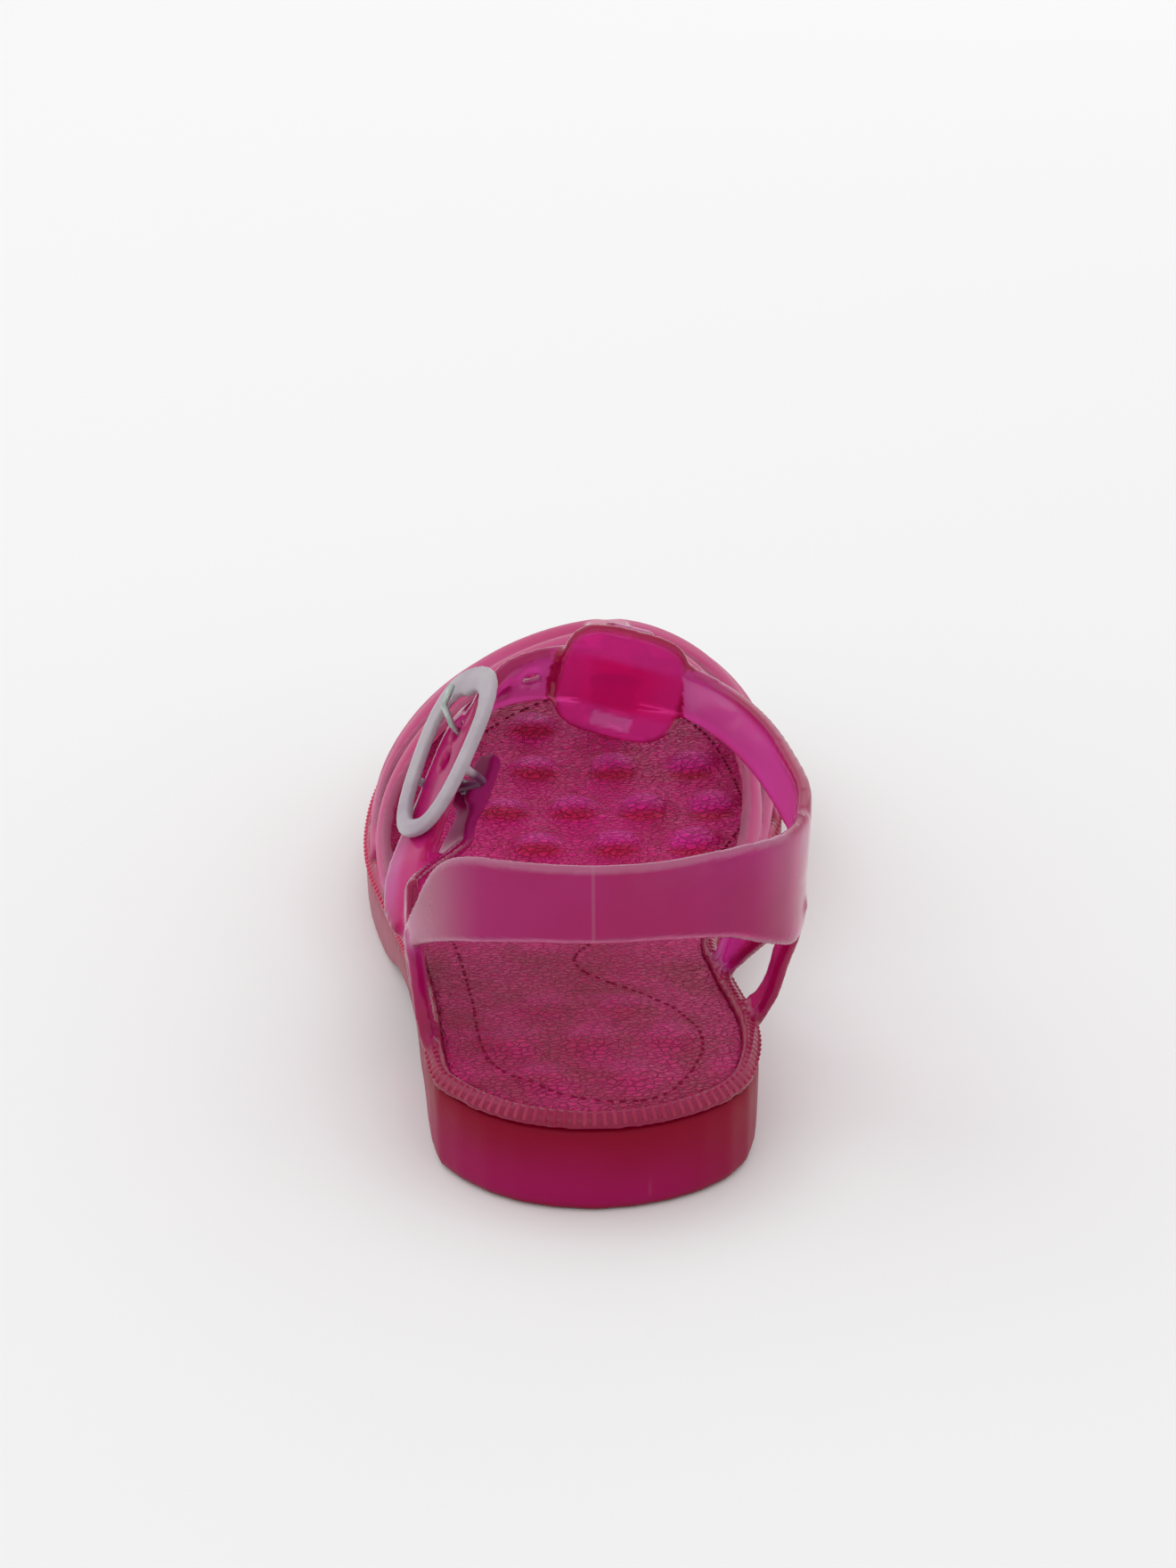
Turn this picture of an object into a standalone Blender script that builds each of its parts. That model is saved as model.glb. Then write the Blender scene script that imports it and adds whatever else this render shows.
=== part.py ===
"""Child's jelly sandal for the left foot, moulded in clear fuchsia vinyl.

The origin is on the floor, under the middle of the heel seat. +X points to the big-toe side,
+Y to the toe and +Z up. All lengths are in metres.
"""
import math
from collections import namedtuple

import bmesh
import bpy
from mathutils import Matrix, Vector

MM = 0.001

# Driving sizes of the shoe
LENGTH = 189 * MM
BALL_WIDTH = 76 * MM
INSTEP_HEIGHT = 54 * MM
HEEL_SEAT = 27 * MM
CLEARANCE = 0.3 * MM

# Sole: its side wall at heel and ball, the arch under the waist and the lift of the toe
HEEL_WALL = 14.7 * MM
BALL_WALL = 9.2 * MM
ARCH_RISE = 5.5 * MM
TOE_SPRING = 5.0 * MM
WALL_DRAFT = 0.3 * MM
WELT_OVERHANG = 0.45 * MM
SOLE_EDGE = 0.8 * MM
GROOVE_WIDTH = 2.4 * MM
GROOVE_DEPTH = 1.0 * MM
GROOVE_PITCH = 8.0 * MM
GROOVE_REACH = 0.71
# Places of the grooves in pitches from the middle of the heel seat
HEEL_GROOVES = (-1.5, -0.5, 0.5, 1.5)
BALL_GROOVES = (8.5, 9.5, 10.5, 11.5, 12.5, 13.5, 14.5)

# Welt: the ribbed rim on which the whole upper stands
WELT_WIDTH = 3.2 * MM
WELT_HEIGHT = 2.8 * MM
RIB_PITCH = 1.75 * MM
RIB_DEPTH = 0.35 * MM

# Footbed with its massage domes
FOOTBED_THICKNESS = 2.0 * MM
DOME_WIDTH = 10.4 * MM
DOME_HEIGHT = 2.1 * MM
HEEL_DOME_HEIGHT = 0.9 * MM

# Straps of the upper
BAND_HEIGHT = 13.2 * MM
BAND_THICKNESS = 2.2 * MM
STRAP_WIDTH = 10.5 * MM
STRAP_THICKNESS = 2.6 * MM
STRAP_HOLE_LENGTH = 3.6 * MM
STRAP_HOLE_WIDTH = 2.2 * MM
STRAP_HOLE_PITCH = 5.4 * MM
STRAP_HOLES = 5
LEG_WIDTH = 7.2 * MM
LEG_THICKNESS = 2.4 * MM
PAD_WIDTH = 9.0 * MM
PAD_THICKNESS = 2.0 * MM
VAMP_STRIP_WIDTH = 7.6 * MM
VAMP_STRIP_THICKNESS = 2.9 * MM
BAR_WIDTH = 9.0 * MM
BAR_THICKNESS = 2.5 * MM
RIDGE_WIDTH = 8.2 * MM

# Loop of the T-bar, through which the ankle strap runs
TAB_WIDTH = 22.0 * MM
TAB_HEIGHT = 22.5 * MM
TAB_THICKNESS = 2.0 * MM
TAB_TURN = math.radians(8)
LOOP_GAP = 0.6 * MM
BRIDGE_WIDTH = 7.0 * MM
BRIDGE_HEIGHT = 3.0 * MM

# Buckle
BUCKLE_LENGTH = 32.0 * MM
BUCKLE_WIDTH = 20.0 * MM
BUCKLE_BAR_WIDTH = 3.3 * MM
BUCKLE_BAR_THICKNESS = 2.4 * MM
BUCKLE_BROAD_END = 0.7
BUCKLE_SHIFT = 2.2 * MM
AXLE_THICKNESS = 1.6 * MM
PRONG_THICKNESS = 1.3 * MM
PRONG_REACH = 0.37

# How finely the curved forms are cut
OUTLINE_ROWS = 36
SECTION_SIDES = 8
STEPS_PER_ROW = 2

Edge = namedtuple("Edge", "along across")
Level = namedtuple("Level", "along up")
Row = namedtuple("Row", "across along up width lean")
Lace = namedtuple("Lace", "rise sweep width")
Domes = namedtuple("Domes", "along first pitch count")
Under = namedtuple("Under", "run width lean")

# Outline from the back of the heel along the little-toe side, shares of length and ball width
OUTER_EDGE = (
    Edge(0.000, 0.000),
    Edge(0.019, -0.186),
    Edge(0.071, -0.318),
    Edge(0.118, -0.352),
    Edge(0.243, -0.378),
    Edge(0.397, -0.433),
    Edge(0.540, -0.505),
    Edge(0.640, -0.520),
    Edge(0.745, -0.495),
    Edge(0.835, -0.428),
    Edge(0.912, -0.325),
    Edge(0.972, -0.172),
    Edge(1.000, 0.045),
)
# The same along the big-toe side
INNER_EDGE = (
    Edge(0.000, 0.000),
    Edge(0.019, 0.186),
    Edge(0.067, 0.318),
    Edge(0.140, 0.358),
    Edge(0.205, 0.348),
    Edge(0.296, 0.310),
    Edge(0.355, 0.293),
    Edge(0.430, 0.325),
    Edge(0.560, 0.425),
    Edge(0.695, 0.480),
    Edge(0.820, 0.450),
    Edge(0.905, 0.368),
    Edge(0.968, 0.240),
    Edge(1.000, 0.045),
)
# Height of the wall's upper edge between the ball (0) and the heel (1)
WALL_LEVELS = (
    Level(0.00, 1.00),
    Level(0.14, 1.00),
    Level(0.30, 0.62),
    Level(0.45, 0.12),
    Level(0.58, 0.00),
    Level(1.00, 0.00),
)
# Rise of the underside in the arch, share of the arch's rise
ARCH_LEVELS = (
    Level(0.245, 0.00),
    Level(0.285, 0.85),
    Level(0.335, 1.00),
    Level(0.400, 0.72),
    Level(0.475, 0.00),
)
# Lift of the toe, share of the toe spring
TOE_LEVELS = (
    Level(0.780, 0.00),
    Level(0.860, 0.18),
    Level(0.930, 0.52),
    Level(1.000, 1.00),
)
# Height of the vamp's ridge, share of the instep height
RIDGE_LEVELS = (
    Level(0.455, 0.970),
    Level(0.550, 0.945),
    Level(0.635, 0.885),
    Level(0.690, 0.825),
    Level(0.750, 0.725),
    Level(0.830, 0.585),
    Level(0.900, 0.455),
    Level(0.955, 0.375),
    Level(0.990, 0.320),
)
RIDGE_ACROSS = 0.058
# Fullness of the vamp's flanks: exponent of their curve, 2 being an ellipse
OUTER_FULLNESS = 1.70
INNER_FULLNESS = 1.88

# Heel band, from the little-toe side round the back to the big-toe side
HEEL_BAND = (
    Row(-0.377, 0.201, 0.667, 0.75, 0),
    Row(-0.374, 0.159, 0.704, 0.83, 0),
    Row(-0.344, 0.111, 0.833, 1.05, 0),
    Row(-0.265, 0.064, 0.922, 1.12, 0),
    Row(-0.139, 0.033, 0.957, 1.03, 0),
    Row(0.000, 0.024, 0.963, 1.00, 0),
    Row(0.146, 0.032, 0.960, 1.02, 0),
    Row(0.291, 0.064, 0.931, 1.17, 0),
    Row(0.389, 0.106, 0.872, 1.42, 0),
    Row(0.432, 0.153, 0.835, 1.62, -2),
    Row(0.444, 0.205, 0.870, 1.15, -4),
)
# Ankle strap, from the band over the instep to its free end
ANKLE_STRAP = (
    Row(0.430, 0.150, 0.935, 0.80, -2),
    Row(0.443, 0.205, 0.938, 1.00, -4),
    Row(0.417, 0.270, 0.945, 1.00, -6),
    Row(0.379, 0.334, 0.950, 1.00, -5),
    Row(0.327, 0.390, 0.952, 1.00, 0),
    Row(0.256, 0.434, 0.965, 1.00, 8),
    Row(0.160, 0.460, 0.990, 1.00, 12),
    Row(0.045, 0.469, 1.010, 1.00, 12),
    Row(-0.060, 0.467, 1.013, 1.00, 14),
    Row(-0.150, 0.462, 0.995, 1.00, 24),
    Row(-0.208, 0.452, 0.962, 1.00, 38),
    Row(-0.252, 0.438, 0.922, 1.00, 50),
    Row(-0.311, 0.397, 0.775, 1.00, 54),
    Row(-0.368, 0.354, 0.628, 1.00, 52),
    Row(-0.390, 0.312, 0.590, 0.98, 46),
    Row(-0.394, 0.268, 0.560, 0.86, 42),
    Row(-0.392, 0.236, 0.530, 0.46, 40),
)
# Rows of the ankle strap between which the loop and the buckle sit
LOOP_ROW = 6.75
BUCKLE_ROW = 11.78
FIRST_HOLE_ROW = 11.40

# Root of the pad on the little-toe side, then its run under the buckle in shares of the buckle's
# length, from the free end of the strap to the rounded tip of the pad
PAD_ROOT = (
    Row(-0.376, 0.175, 0.685, 1.20, 0),
    Row(-0.364, 0.250, 0.628, 1.05, -20),
)
PAD_UNDER_BUCKLE = (
    Under(0.44, 1.00, -46),
    Under(0.16, 0.95, -54),
    Under(-0.06, 0.86, -54),
    Under(-0.14, 0.50, -54),
)
PAD_DEPTH = 9.4 * MM
PAD_SHIFT = 2.5 * MM
LUG_WIDTH = 2.3 * MM
# Two legs on each side, from the heel band down to the welt; their feet reach the welt's own height
OUTER_REAR_LEG = (
    Row(-0.376, 0.172, 0.665, 1.90, 0),
    Row(-0.368, 0.166, 0.560, 1.40, 0),
    Row(-0.362, 0.163, 0.460, 0.95, 0),
    Row(-0.353, 0.157, 0.370, 0.90, 0),
    Row(-0.336, 0.150, 0.270, 1.10, 0),
)
OUTER_FRONT_LEG = (
    Row(-0.378, 0.195, 0.650, 1.60, 0),
    Row(-0.379, 0.222, 0.560, 1.20, 0),
    Row(-0.382, 0.256, 0.430, 0.95, 0),
    Row(-0.375, 0.296, 0.235, 1.15, 0),
)
INNER_REAR_LEG = (
    Row(0.438, 0.182, 0.760, 1.90, 0),
    Row(0.424, 0.186, 0.620, 1.35, 0),
    Row(0.402, 0.191, 0.500, 0.95, 0),
    Row(0.380, 0.196, 0.380, 0.85, 0),
    Row(0.334, 0.204, 0.255, 1.10, 0),
)
INNER_FRONT_LEG = (
    Row(0.440, 0.190, 0.790, 1.70, 0),
    Row(0.424, 0.222, 0.630, 1.25, 0),
    Row(0.362, 0.272, 0.440, 1.00, 0),
    Row(0.285, 0.326, 0.235, 1.20, 0),
)

# Course of a vamp strip from the welt (rise 0) to the ridge (rise 1), shares of its sweep and width
LACE_COURSE = (
    Lace(0.020, 0.00, 0.60),
    Lace(0.090, 0.42, 0.85),
    Lace(0.190, 0.76, 1.00),
    Lace(0.360, 0.93, 1.00),
    Lace(0.650, 1.03, 0.95),
    Lace(0.985, 1.00, 0.80),
)
LACE_STARTS = (0.475, 0.560, 0.645, 0.730, 0.815)
LACE_SWEEPS = (0.135, 0.130, 0.120, 0.105, 0.080)

# Massage domes under the ball, then the flatter ones in the heel seat
BALL_DOMES = (
    Domes(0.588, -0.106, 0.176, 3),
    Domes(0.668, -0.186, 0.161, 4),
    Domes(0.762, -0.115, 0.186, 3),
    Domes(0.855, -0.119, 0.197, 2),
)
HEEL_DOMES = (
    Domes(0.085, -0.095, 0.170, 2),
    Domes(0.150, -0.170, 0.165, 3),
    Domes(0.215, -0.100, 0.165, 2),
)


def clear_scene():
    """Remove what the new file holds."""
    for thing in list(bpy.data.objects):
        bpy.data.objects.remove(thing, do_unlink=True)


def material(name, colour, roughness, metallic=0.0):
    """A plain Principled material."""
    made = bpy.data.materials.new(name)
    made.use_nodes = True
    shader = made.node_tree.nodes["Principled BSDF"]
    shader.inputs["Base Color"].default_value = (*colour, 1.0)
    shader.inputs["Roughness"].default_value = roughness
    shader.inputs["Metallic"].default_value = metallic
    return made


def new_object(name, bm, finish=None, guide=False):
    """Turn a closed bmesh into an object; a guide only serves a Boolean."""
    bmesh.ops.recalc_face_normals(bm, faces=bm.faces)
    mesh = bpy.data.meshes.new(name)
    bm.to_mesh(mesh)
    bm.free()
    if finish:
        mesh.materials.append(finish)
    made = bpy.data.objects.new(name, mesh)
    bpy.context.scene.collection.objects.link(made)
    if guide:
        made.hide_render = True
        made.display_type = "WIRE"
    return made


def combine(target, guides, operation):
    """Boolean of one object with each of a row of guides in turn."""
    for index, guide in enumerate(guides):
        step = target.modifiers.new(f"{operation.lower()}_{index}", "BOOLEAN")
        step.solver = "EXACT"
        step.operation = operation
        step.object = guide


def level(rows, along):
    """Smooth height between the rows of a table of levels, held at both ends."""
    if along <= rows[0].along:
        return rows[0].up
    for low, high in zip(rows, rows[1:]):
        if along <= high.along:
            share = (along - low.along) / (high.along - low.along)
            share = share * share * (3 - 2 * share)
            return low.up + (high.up - low.up) * share
    return rows[-1].up


def smooth(values, place):
    """Catmull-Rom value at a fractional index of a list of equal tuples."""
    last = len(values) - 1
    index = min(max(int(math.floor(place)), 0), last - 1)
    t = place - index
    before, start = values[max(index - 1, 0)], values[index]
    end, after = values[index + 1], values[min(index + 2, last)]
    mixed = []
    for a, b, c, d in zip(before, start, end, after):
        mixed.append(
            b + 0.5 * t * (c - a + t * (2 * a - 5 * b + 4 * c - d + t * (3 * (b - c) + d - a)))
        )
    return mixed


def half_outline(edges):
    """Fine polyline of one half of the outline in metres."""
    fine = 24
    points = []
    mirror = [Edge(edges[1].along, -edges[1].across)]
    ends = [Edge(edges[-2].along, 2 * edges[-1].across - edges[-2].across)]
    knots = mirror + list(edges) + ends
    for step in range((len(edges) - 1) * fine + 1):
        along, across = smooth(knots, 1 + step / fine)
        points.append(Vector((across * BALL_WIDTH, along * LENGTH - HEEL_SEAT)))
    return points


def resample(points, count):
    """Points at equal distances along a polyline."""
    reach = [0.0]
    for a, b in zip(points, points[1:]):
        reach.append(reach[-1] + (b - a).length)
    spaced, index = [], 0
    for step in range(count + 1):
        goal = reach[-1] * step / count
        while index < len(points) - 2 and reach[index + 1] < goal:
            index += 1
        share = (goal - reach[index]) / (reach[index + 1] - reach[index])
        spaced.append(points[index].lerp(points[index + 1], min(share, 1.0)))
    return spaced


OUTER_LINE = half_outline(OUTER_EDGE)
INNER_LINE = half_outline(INNER_EDGE)


def outline(rows, inset=0.0):
    """Closed outline: heel, little-toe side, toe, big-toe side, moved inwards by the inset."""
    outer = resample(OUTER_LINE, rows)
    inner = resample(INNER_LINE, rows)
    ring = outer + inner[-2:0:-1]
    moved = []
    for index, point in enumerate(ring):
        run = ring[(index + 1) % len(ring)] - ring[index - 1]
        inward = Vector((run.y, -run.x)).normalized()
        moved.append(point + inward * inset)
    return moved


def along_of(y):
    """Share of the length at which a place lies."""
    return (y + HEEL_SEAT) / LENGTH


def underside(y):
    along = along_of(y)
    arch = 0.0
    if along > ARCH_LEVELS[0].along:
        arch = ARCH_RISE * level(ARCH_LEVELS, along)
    return arch + TOE_SPRING * level(TOE_LEVELS, along)


def wall_top(y):
    """Upper edge of the sole's side wall."""
    along = along_of(y)
    wall = BALL_WALL + (HEEL_WALL - BALL_WALL) * level(WALL_LEVELS, along)
    return wall + TOE_SPRING * level(TOE_LEVELS, along)


def add_ring(bm, points, height, lift=0.0):
    """Vertices over an outline at the height that a function gives."""
    return [bm.verts.new((p.x, p.y, height(p.y) + lift)) for p in points]


def bridge(bm, low, high):
    """Faces between two closed rings, which may have different counts."""
    if len(low) == len(high):
        for i in range(len(low)):
            j = (i + 1) % len(low)
            bm.faces.new((low[i], low[j], high[j], high[i]))
        return
    i = j = 0
    while i < len(low) or j < len(high):
        if j == len(high) or (i < len(low) and (i + 1) * len(high) <= (j + 1) * len(low)):
            bm.faces.new((low[i % len(low)], low[(i + 1) % len(low)], high[j % len(high)]))
            i += 1
        else:
            bm.faces.new((low[i % len(low)], high[(j + 1) % len(high)], high[j % len(high)]))
            j += 1


def fill(bm, ring):
    """Close a ring of the outline with a face across each pair of rows."""
    rows = len(ring) // 2
    outer = ring[: rows + 1]
    inner = [ring[0]] + ring[:rows:-1] + [ring[rows]]
    bm.faces.new((outer[0], outer[1], inner[1]))
    for k in range(1, rows - 1):
        bm.faces.new((outer[k], outer[k + 1], inner[k + 1], inner[k]))
    bm.faces.new((outer[rows - 1], outer[rows], inner[rows - 1]))


def plate(rings):
    """Closed body from rings of the outline, from its underside up."""
    bm = bmesh.new()
    built = [add_ring(bm, outline(OUTLINE_ROWS, inset), height, lift) for inset, height, lift in rings]
    for low, high in zip(built, built[1:]):
        bridge(bm, low, high)
    fill(bm, built[0])
    fill(bm, built[-1])
    bmesh.ops.triangulate(bm, faces=bm.faces)
    return bm


def box(centre, sides, sizes):
    """Closed box from its centre, its three directions and its sizes."""
    bm = bmesh.new()
    bmesh.ops.create_cube(bm, size=1.0)
    turn = Matrix((sides[0], sides[1], sides[2])).transposed().to_4x4()
    scale = Matrix.Diagonal((*sizes, 1.0))
    bm.transform(Matrix.Translation(centre) @ turn @ scale)
    return bm


def make_outsole(finish):
    """Sole with heel, arch, toe spring and tread grooves."""
    wall = WELT_OVERHANG
    rings = (
        (wall + WALL_DRAFT + SOLE_EDGE, underside, 0.0),
        (wall + WALL_DRAFT, underside, SOLE_EDGE),
        (wall, wall_top, -2 * SOLE_EDGE),
        (wall + CLEARANCE, wall_top, 0.0),
    )
    sole = new_object("outsole", plate(rings), finish)
    grooves = []
    for place in HEEL_GROOVES + BALL_GROOVES:
        y = place * GROOVE_PITCH
        span = [p.x for p in OUTER_LINE + INNER_LINE if abs(p.y - y) < GROOVE_PITCH / 2]
        width = (max(span) - min(span)) * GROOVE_REACH
        centre = Vector(((max(span) + min(span)) / 2, y, underside(y)))
        sides = (Vector((1, 0, 0)), Vector((0, 1, 0)), Vector((0, 0, 1)))
        cut = box(centre, sides, (width, GROOVE_WIDTH, 2 * GROOVE_DEPTH))
        grooves.append(new_object(f"groove_{len(grooves)}", cut, guide=True))
    combine(sole, grooves, "DIFFERENCE")
    return sole


def dome(centre, width, height):
    """Low round cap with a short stem that sinks into the footbed."""
    bm = bmesh.new()
    sides = 10
    profile = ((1.0, -0.6), (1.0, 0.0), (0.72, 0.62), (0.34, 0.95))
    rings = []
    for radius, up in profile:
        ring = []
        for step in range(sides):
            angle = math.tau * step / sides
            offset = Vector((math.cos(angle), math.sin(angle), 0)) * radius * width / 2
            ring.append(bm.verts.new(centre + offset + Vector((0, 0, up * height))))
        rings.append(ring)
    for low, high in zip(rings, rings[1:]):
        bridge(bm, low, high)
    bm.faces.new(rings[0])
    bm.faces.new(rings[-1])
    return bm


def footbed_top(y):
    return wall_top(y) + CLEARANCE + FOOTBED_THICKNESS


def make_footbed(finish):
    """Insole inside the welt, with its massage domes."""
    edge = WELT_WIDTH + 2 * CLEARANCE
    rounding = 0.3 * FOOTBED_THICKNESS
    rings = (
        (edge, wall_top, CLEARANCE),
        (edge, footbed_top, -rounding),
        (edge + rounding, footbed_top, 0.0),
    )
    bed = new_object("footbed", plate(rings), finish)
    domes = []
    for rows, height in ((BALL_DOMES, DOME_HEIGHT), (HEEL_DOMES, HEEL_DOME_HEIGHT)):
        for row in rows:
            for place in range(row.count):
                across = row.first + place * row.pitch
                y = (row.along + 0.03 * across) * LENGTH - HEEL_SEAT
                centre = Vector((across * BALL_WIDTH, y, footbed_top(y)))
                cap = dome(centre, DOME_WIDTH, height)
                domes.append(new_object(f"dome_{len(domes)}", cap, guide=True))
    combine(bed, domes, "UNION")
    return bed


def welt_points(rows, insets, lifts):
    """Ring of the welt whose inset and lift alternate along it, and so form ribs."""
    low = outline(rows, insets[0])
    high = outline(rows, insets[1])
    ring = []
    for index in range(len(low)):
        odd = index % 2
        ring.append(((low, high)[odd][index], lifts[odd]))
    return ring


def make_welt(finish):
    """Ribbed rim, the base of the upper."""
    around = sum((b - a).length for line in (OUTER_LINE, INNER_LINE) for a, b in zip(line, line[1:]))
    ribs = 2 * round(around / RIB_PITCH / 2)
    bm = bmesh.new()
    base_outer = add_ring(bm, outline(OUTLINE_ROWS), wall_top, CLEARANCE)
    shoulder = add_ring(bm, outline(ribs // 2), wall_top, 0.36 * WELT_HEIGHT)
    crest = []
    insets = (0.22 * WELT_WIDTH, 0.22 * WELT_WIDTH + RIB_DEPTH)
    lifts = (0.86 * WELT_HEIGHT + CLEARANCE, 0.86 * WELT_HEIGHT + CLEARANCE - RIB_DEPTH)
    for point, lift in welt_points(ribs, insets, lifts):
        crest.append(bm.verts.new((point.x, point.y, wall_top(point.y) + lift)))
    inner_top = outline(ribs // 2, 0.9 * WELT_WIDTH)
    lip = add_ring(bm, inner_top, wall_top, WELT_HEIGHT + CLEARANCE)
    base_inner = add_ring(bm, outline(OUTLINE_ROWS, WELT_WIDTH), wall_top, CLEARANCE)
    for low, high in ((base_outer, shoulder), (shoulder, crest), (crest, lip), (lip, base_inner)):
        bridge(bm, low, high)
    bridge(bm, base_inner, base_outer)
    return new_object("upper", bm, finish)


def sweep(stations, squareness, sides=SECTION_SIDES):
    """Closed bar through stations of centre, half-width vector and half-thickness vector."""
    bm = bmesh.new()
    rings = []
    for centre, wide, thick in stations:
        ring = []
        for step in range(sides):
            angle = math.tau * (step + 0.5) / sides
            c, s = math.cos(angle), math.sin(angle)
            grow = (abs(c) ** squareness + abs(s) ** squareness) ** (-1 / squareness)
            ring.append(bm.verts.new(centre + wide * c * grow + thick * s * grow))
        rings.append(ring)
    for low, high in zip(rings, rings[1:]):
        bridge(bm, low, high)
    bm.faces.new(rings[0])
    bm.faces.new(rings[-1])
    return bm


def row_point(row):
    return Vector((row[0] * BALL_WIDTH, row[1] * LENGTH - HEEL_SEAT, row[2] * INSTEP_HEIGHT))


def frame_at(rows, place, hint):
    """Centre, run, width and outward direction of a strap at a fractional row."""
    nudge = 0.05
    first = smooth(rows, max(place - nudge, 0))
    second = smooth(rows, min(place + nudge, len(rows) - 1))
    here = smooth(rows, place)
    run = (row_point(second) - row_point(first)).normalized()
    wide = (hint - run * hint.dot(run)).normalized()
    outward = run.cross(wide)
    lean = math.radians(here[4])
    tilted = wide * math.cos(lean) - outward * math.sin(lean)
    return row_point(here), run, tilted, run.cross(tilted), here[3]


def strap(rows, width, thickness, hint=Vector((0, 0, 1)), squareness=5.0, steps=STEPS_PER_ROW):
    """Flat strap swept along a table of rows."""
    stations = []
    for step in range((len(rows) - 1) * steps + 1):
        centre, run, wide, outward, share = frame_at(rows, step / steps, hint)
        stations.append((centre, wide * width * share / 2, outward * thickness / 2))
    return sweep(above_sole(stations), squareness)


def side_at(line, y):
    """Across place of one side of the outline at a place along the shoe."""
    for a, b in zip(line, line[1:]):
        if a.y <= y <= b.y:
            return a.x + (b.x - a.x) * (y - a.y) / max(b.y - a.y, 1e-9)
    return line[-1].x


def last_point(line, along, rise, fullness):
    """Point of the foot's form over the vamp: rise 0 is the welt and rise 1 the ridge."""
    y = along * LENGTH - HEEL_SEAT
    side = side_at(line, y)
    inward = -math.copysign(WELT_WIDTH / 2, side)
    base = Vector((side + inward, y, wall_top(y) + 0.6 * WELT_HEIGHT))
    ridge = Vector((RIDGE_ACROSS * BALL_WIDTH, y, INSTEP_HEIGHT * level(RIDGE_LEVELS, along)))
    turn = rise * math.pi / 2
    across = ridge.x + (base.x - ridge.x) * math.cos(turn) ** (2 / fullness)
    return Vector((across, y, base.z + (ridge.z - base.z) * math.sin(turn) ** (2 / fullness)))


def above_sole(stations):
    """Stations raised where needed, so that a strap's foot ends inside the welt."""
    raised = []
    for centre, wide, thick in stations:
        lowest = centre.z - abs(wide.z) - abs(thick.z)
        floor = wall_top(centre.y) + 2 * CLEARANCE
        raised.append((centre + Vector((0, 0, max(floor - lowest, 0))), wide, thick))
    return raised


def vamp_strip(line, fullness, start, reach):
    """One strip of the vamp, from the welt up to the T-bar."""
    steps = 2
    centres, normals, widths = [], [], []
    for step in range((len(LACE_COURSE) - 1) * steps + 1):
        rise, forward, width = smooth(LACE_COURSE, step / steps)
        along = start + forward * reach
        centres.append(last_point(line, along, rise, fullness))
        y = centres[-1].y
        axis = Vector((RIDGE_ACROSS * BALL_WIDTH, y, wall_top(y)))
        outward = (centres[-1] - axis).normalized()
        normals.append(outward)
        widths.append(width)
    stations = []
    for index, centre in enumerate(centres):
        ahead = centres[min(index + 1, len(centres) - 1)]
        behind = centres[max(index - 1, 0)]
        run = (ahead - behind).normalized()
        wide = run.cross(normals[index]).normalized()
        outward = wide.cross(run)
        half = wide * VAMP_STRIP_WIDTH * widths[index] / 2
        stations.append((centre, half, outward * VAMP_STRIP_THICKNESS / 2))
    return sweep(above_sole(stations), 2.6)


def loop_frame():
    """Place and directions of the loop: across the shoe, up and towards the toe."""
    centre, run, up, forward, _ = frame_at(ANKLE_STRAP, LOOP_ROW, Vector((0, 0, 1)))
    turn = Matrix.Rotation(TAB_TURN, 3, forward)
    return centre, turn @ -run, turn @ up, forward


def tab_plate():
    """Rounded square plate of the loop, on the heel side of the strap."""
    centre, across, up, forward = loop_frame()
    behind = STRAP_THICKNESS / 2 + LOOP_GAP + TAB_THICKNESS / 2
    middle = centre - forward * behind
    bm = bmesh.new()
    sides = 28
    rings = []
    for depth, size in ((-0.5, 0.93), (-0.25, 1.0), (0.25, 1.0), (0.5, 0.93)):
        ring = []
        for step in range(sides):
            angle = math.tau * step / sides
            c, s = math.cos(angle), math.sin(angle)
            grow = (abs(c) ** 3.4 + abs(s) ** 3.4) ** (-1 / 3.4) * size
            flat = across * c * grow * TAB_WIDTH / 2 + up * s * grow * TAB_HEIGHT / 2
            ring.append(bm.verts.new(middle + flat + forward * depth * TAB_THICKNESS))
        rings.append(ring)
    for low, high in zip(rings, rings[1:]):
        bridge(bm, low, high)
    bm.faces.new(rings[0])
    bm.faces.new(rings[-1])
    return bm


def loop_bar():
    """Upright end of the T-bar on the toe side of the strap."""
    centre, across, up, forward = loop_frame()
    ahead = STRAP_THICKNESS / 2 + LOOP_GAP + BAR_THICKNESS / 2
    reach = STRAP_WIDTH / 2 + LOOP_GAP + 1.1 * BRIDGE_HEIGHT
    middle = centre + forward * ahead
    stations = []
    for share in (-1.0, -0.9, 0.9, 1.0):
        narrow = 0.8 if abs(share) == 1.0 else 1.0
        wide = across * BAR_WIDTH / 2 * narrow
        stations.append((middle + up * reach * share, wide, forward * BAR_THICKNESS / 2 * narrow))
    return sweep(stations, 5.0)


def loop_bridge(sign):
    """Block over or under the strap that joins the plate to the upright bar."""
    centre, across, up, forward = loop_frame()
    back = STRAP_THICKNESS / 2 + LOOP_GAP + TAB_THICKNESS / 2
    front = STRAP_THICKNESS / 2 + LOOP_GAP + BAR_THICKNESS / 2
    lift = STRAP_WIDTH / 2 + LOOP_GAP + BRIDGE_HEIGHT / 2
    middle = centre + up * lift * sign + forward * (front - back) / 2
    return box(middle, (across, forward, up), (BRIDGE_WIDTH, back + front, BRIDGE_HEIGHT))


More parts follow.
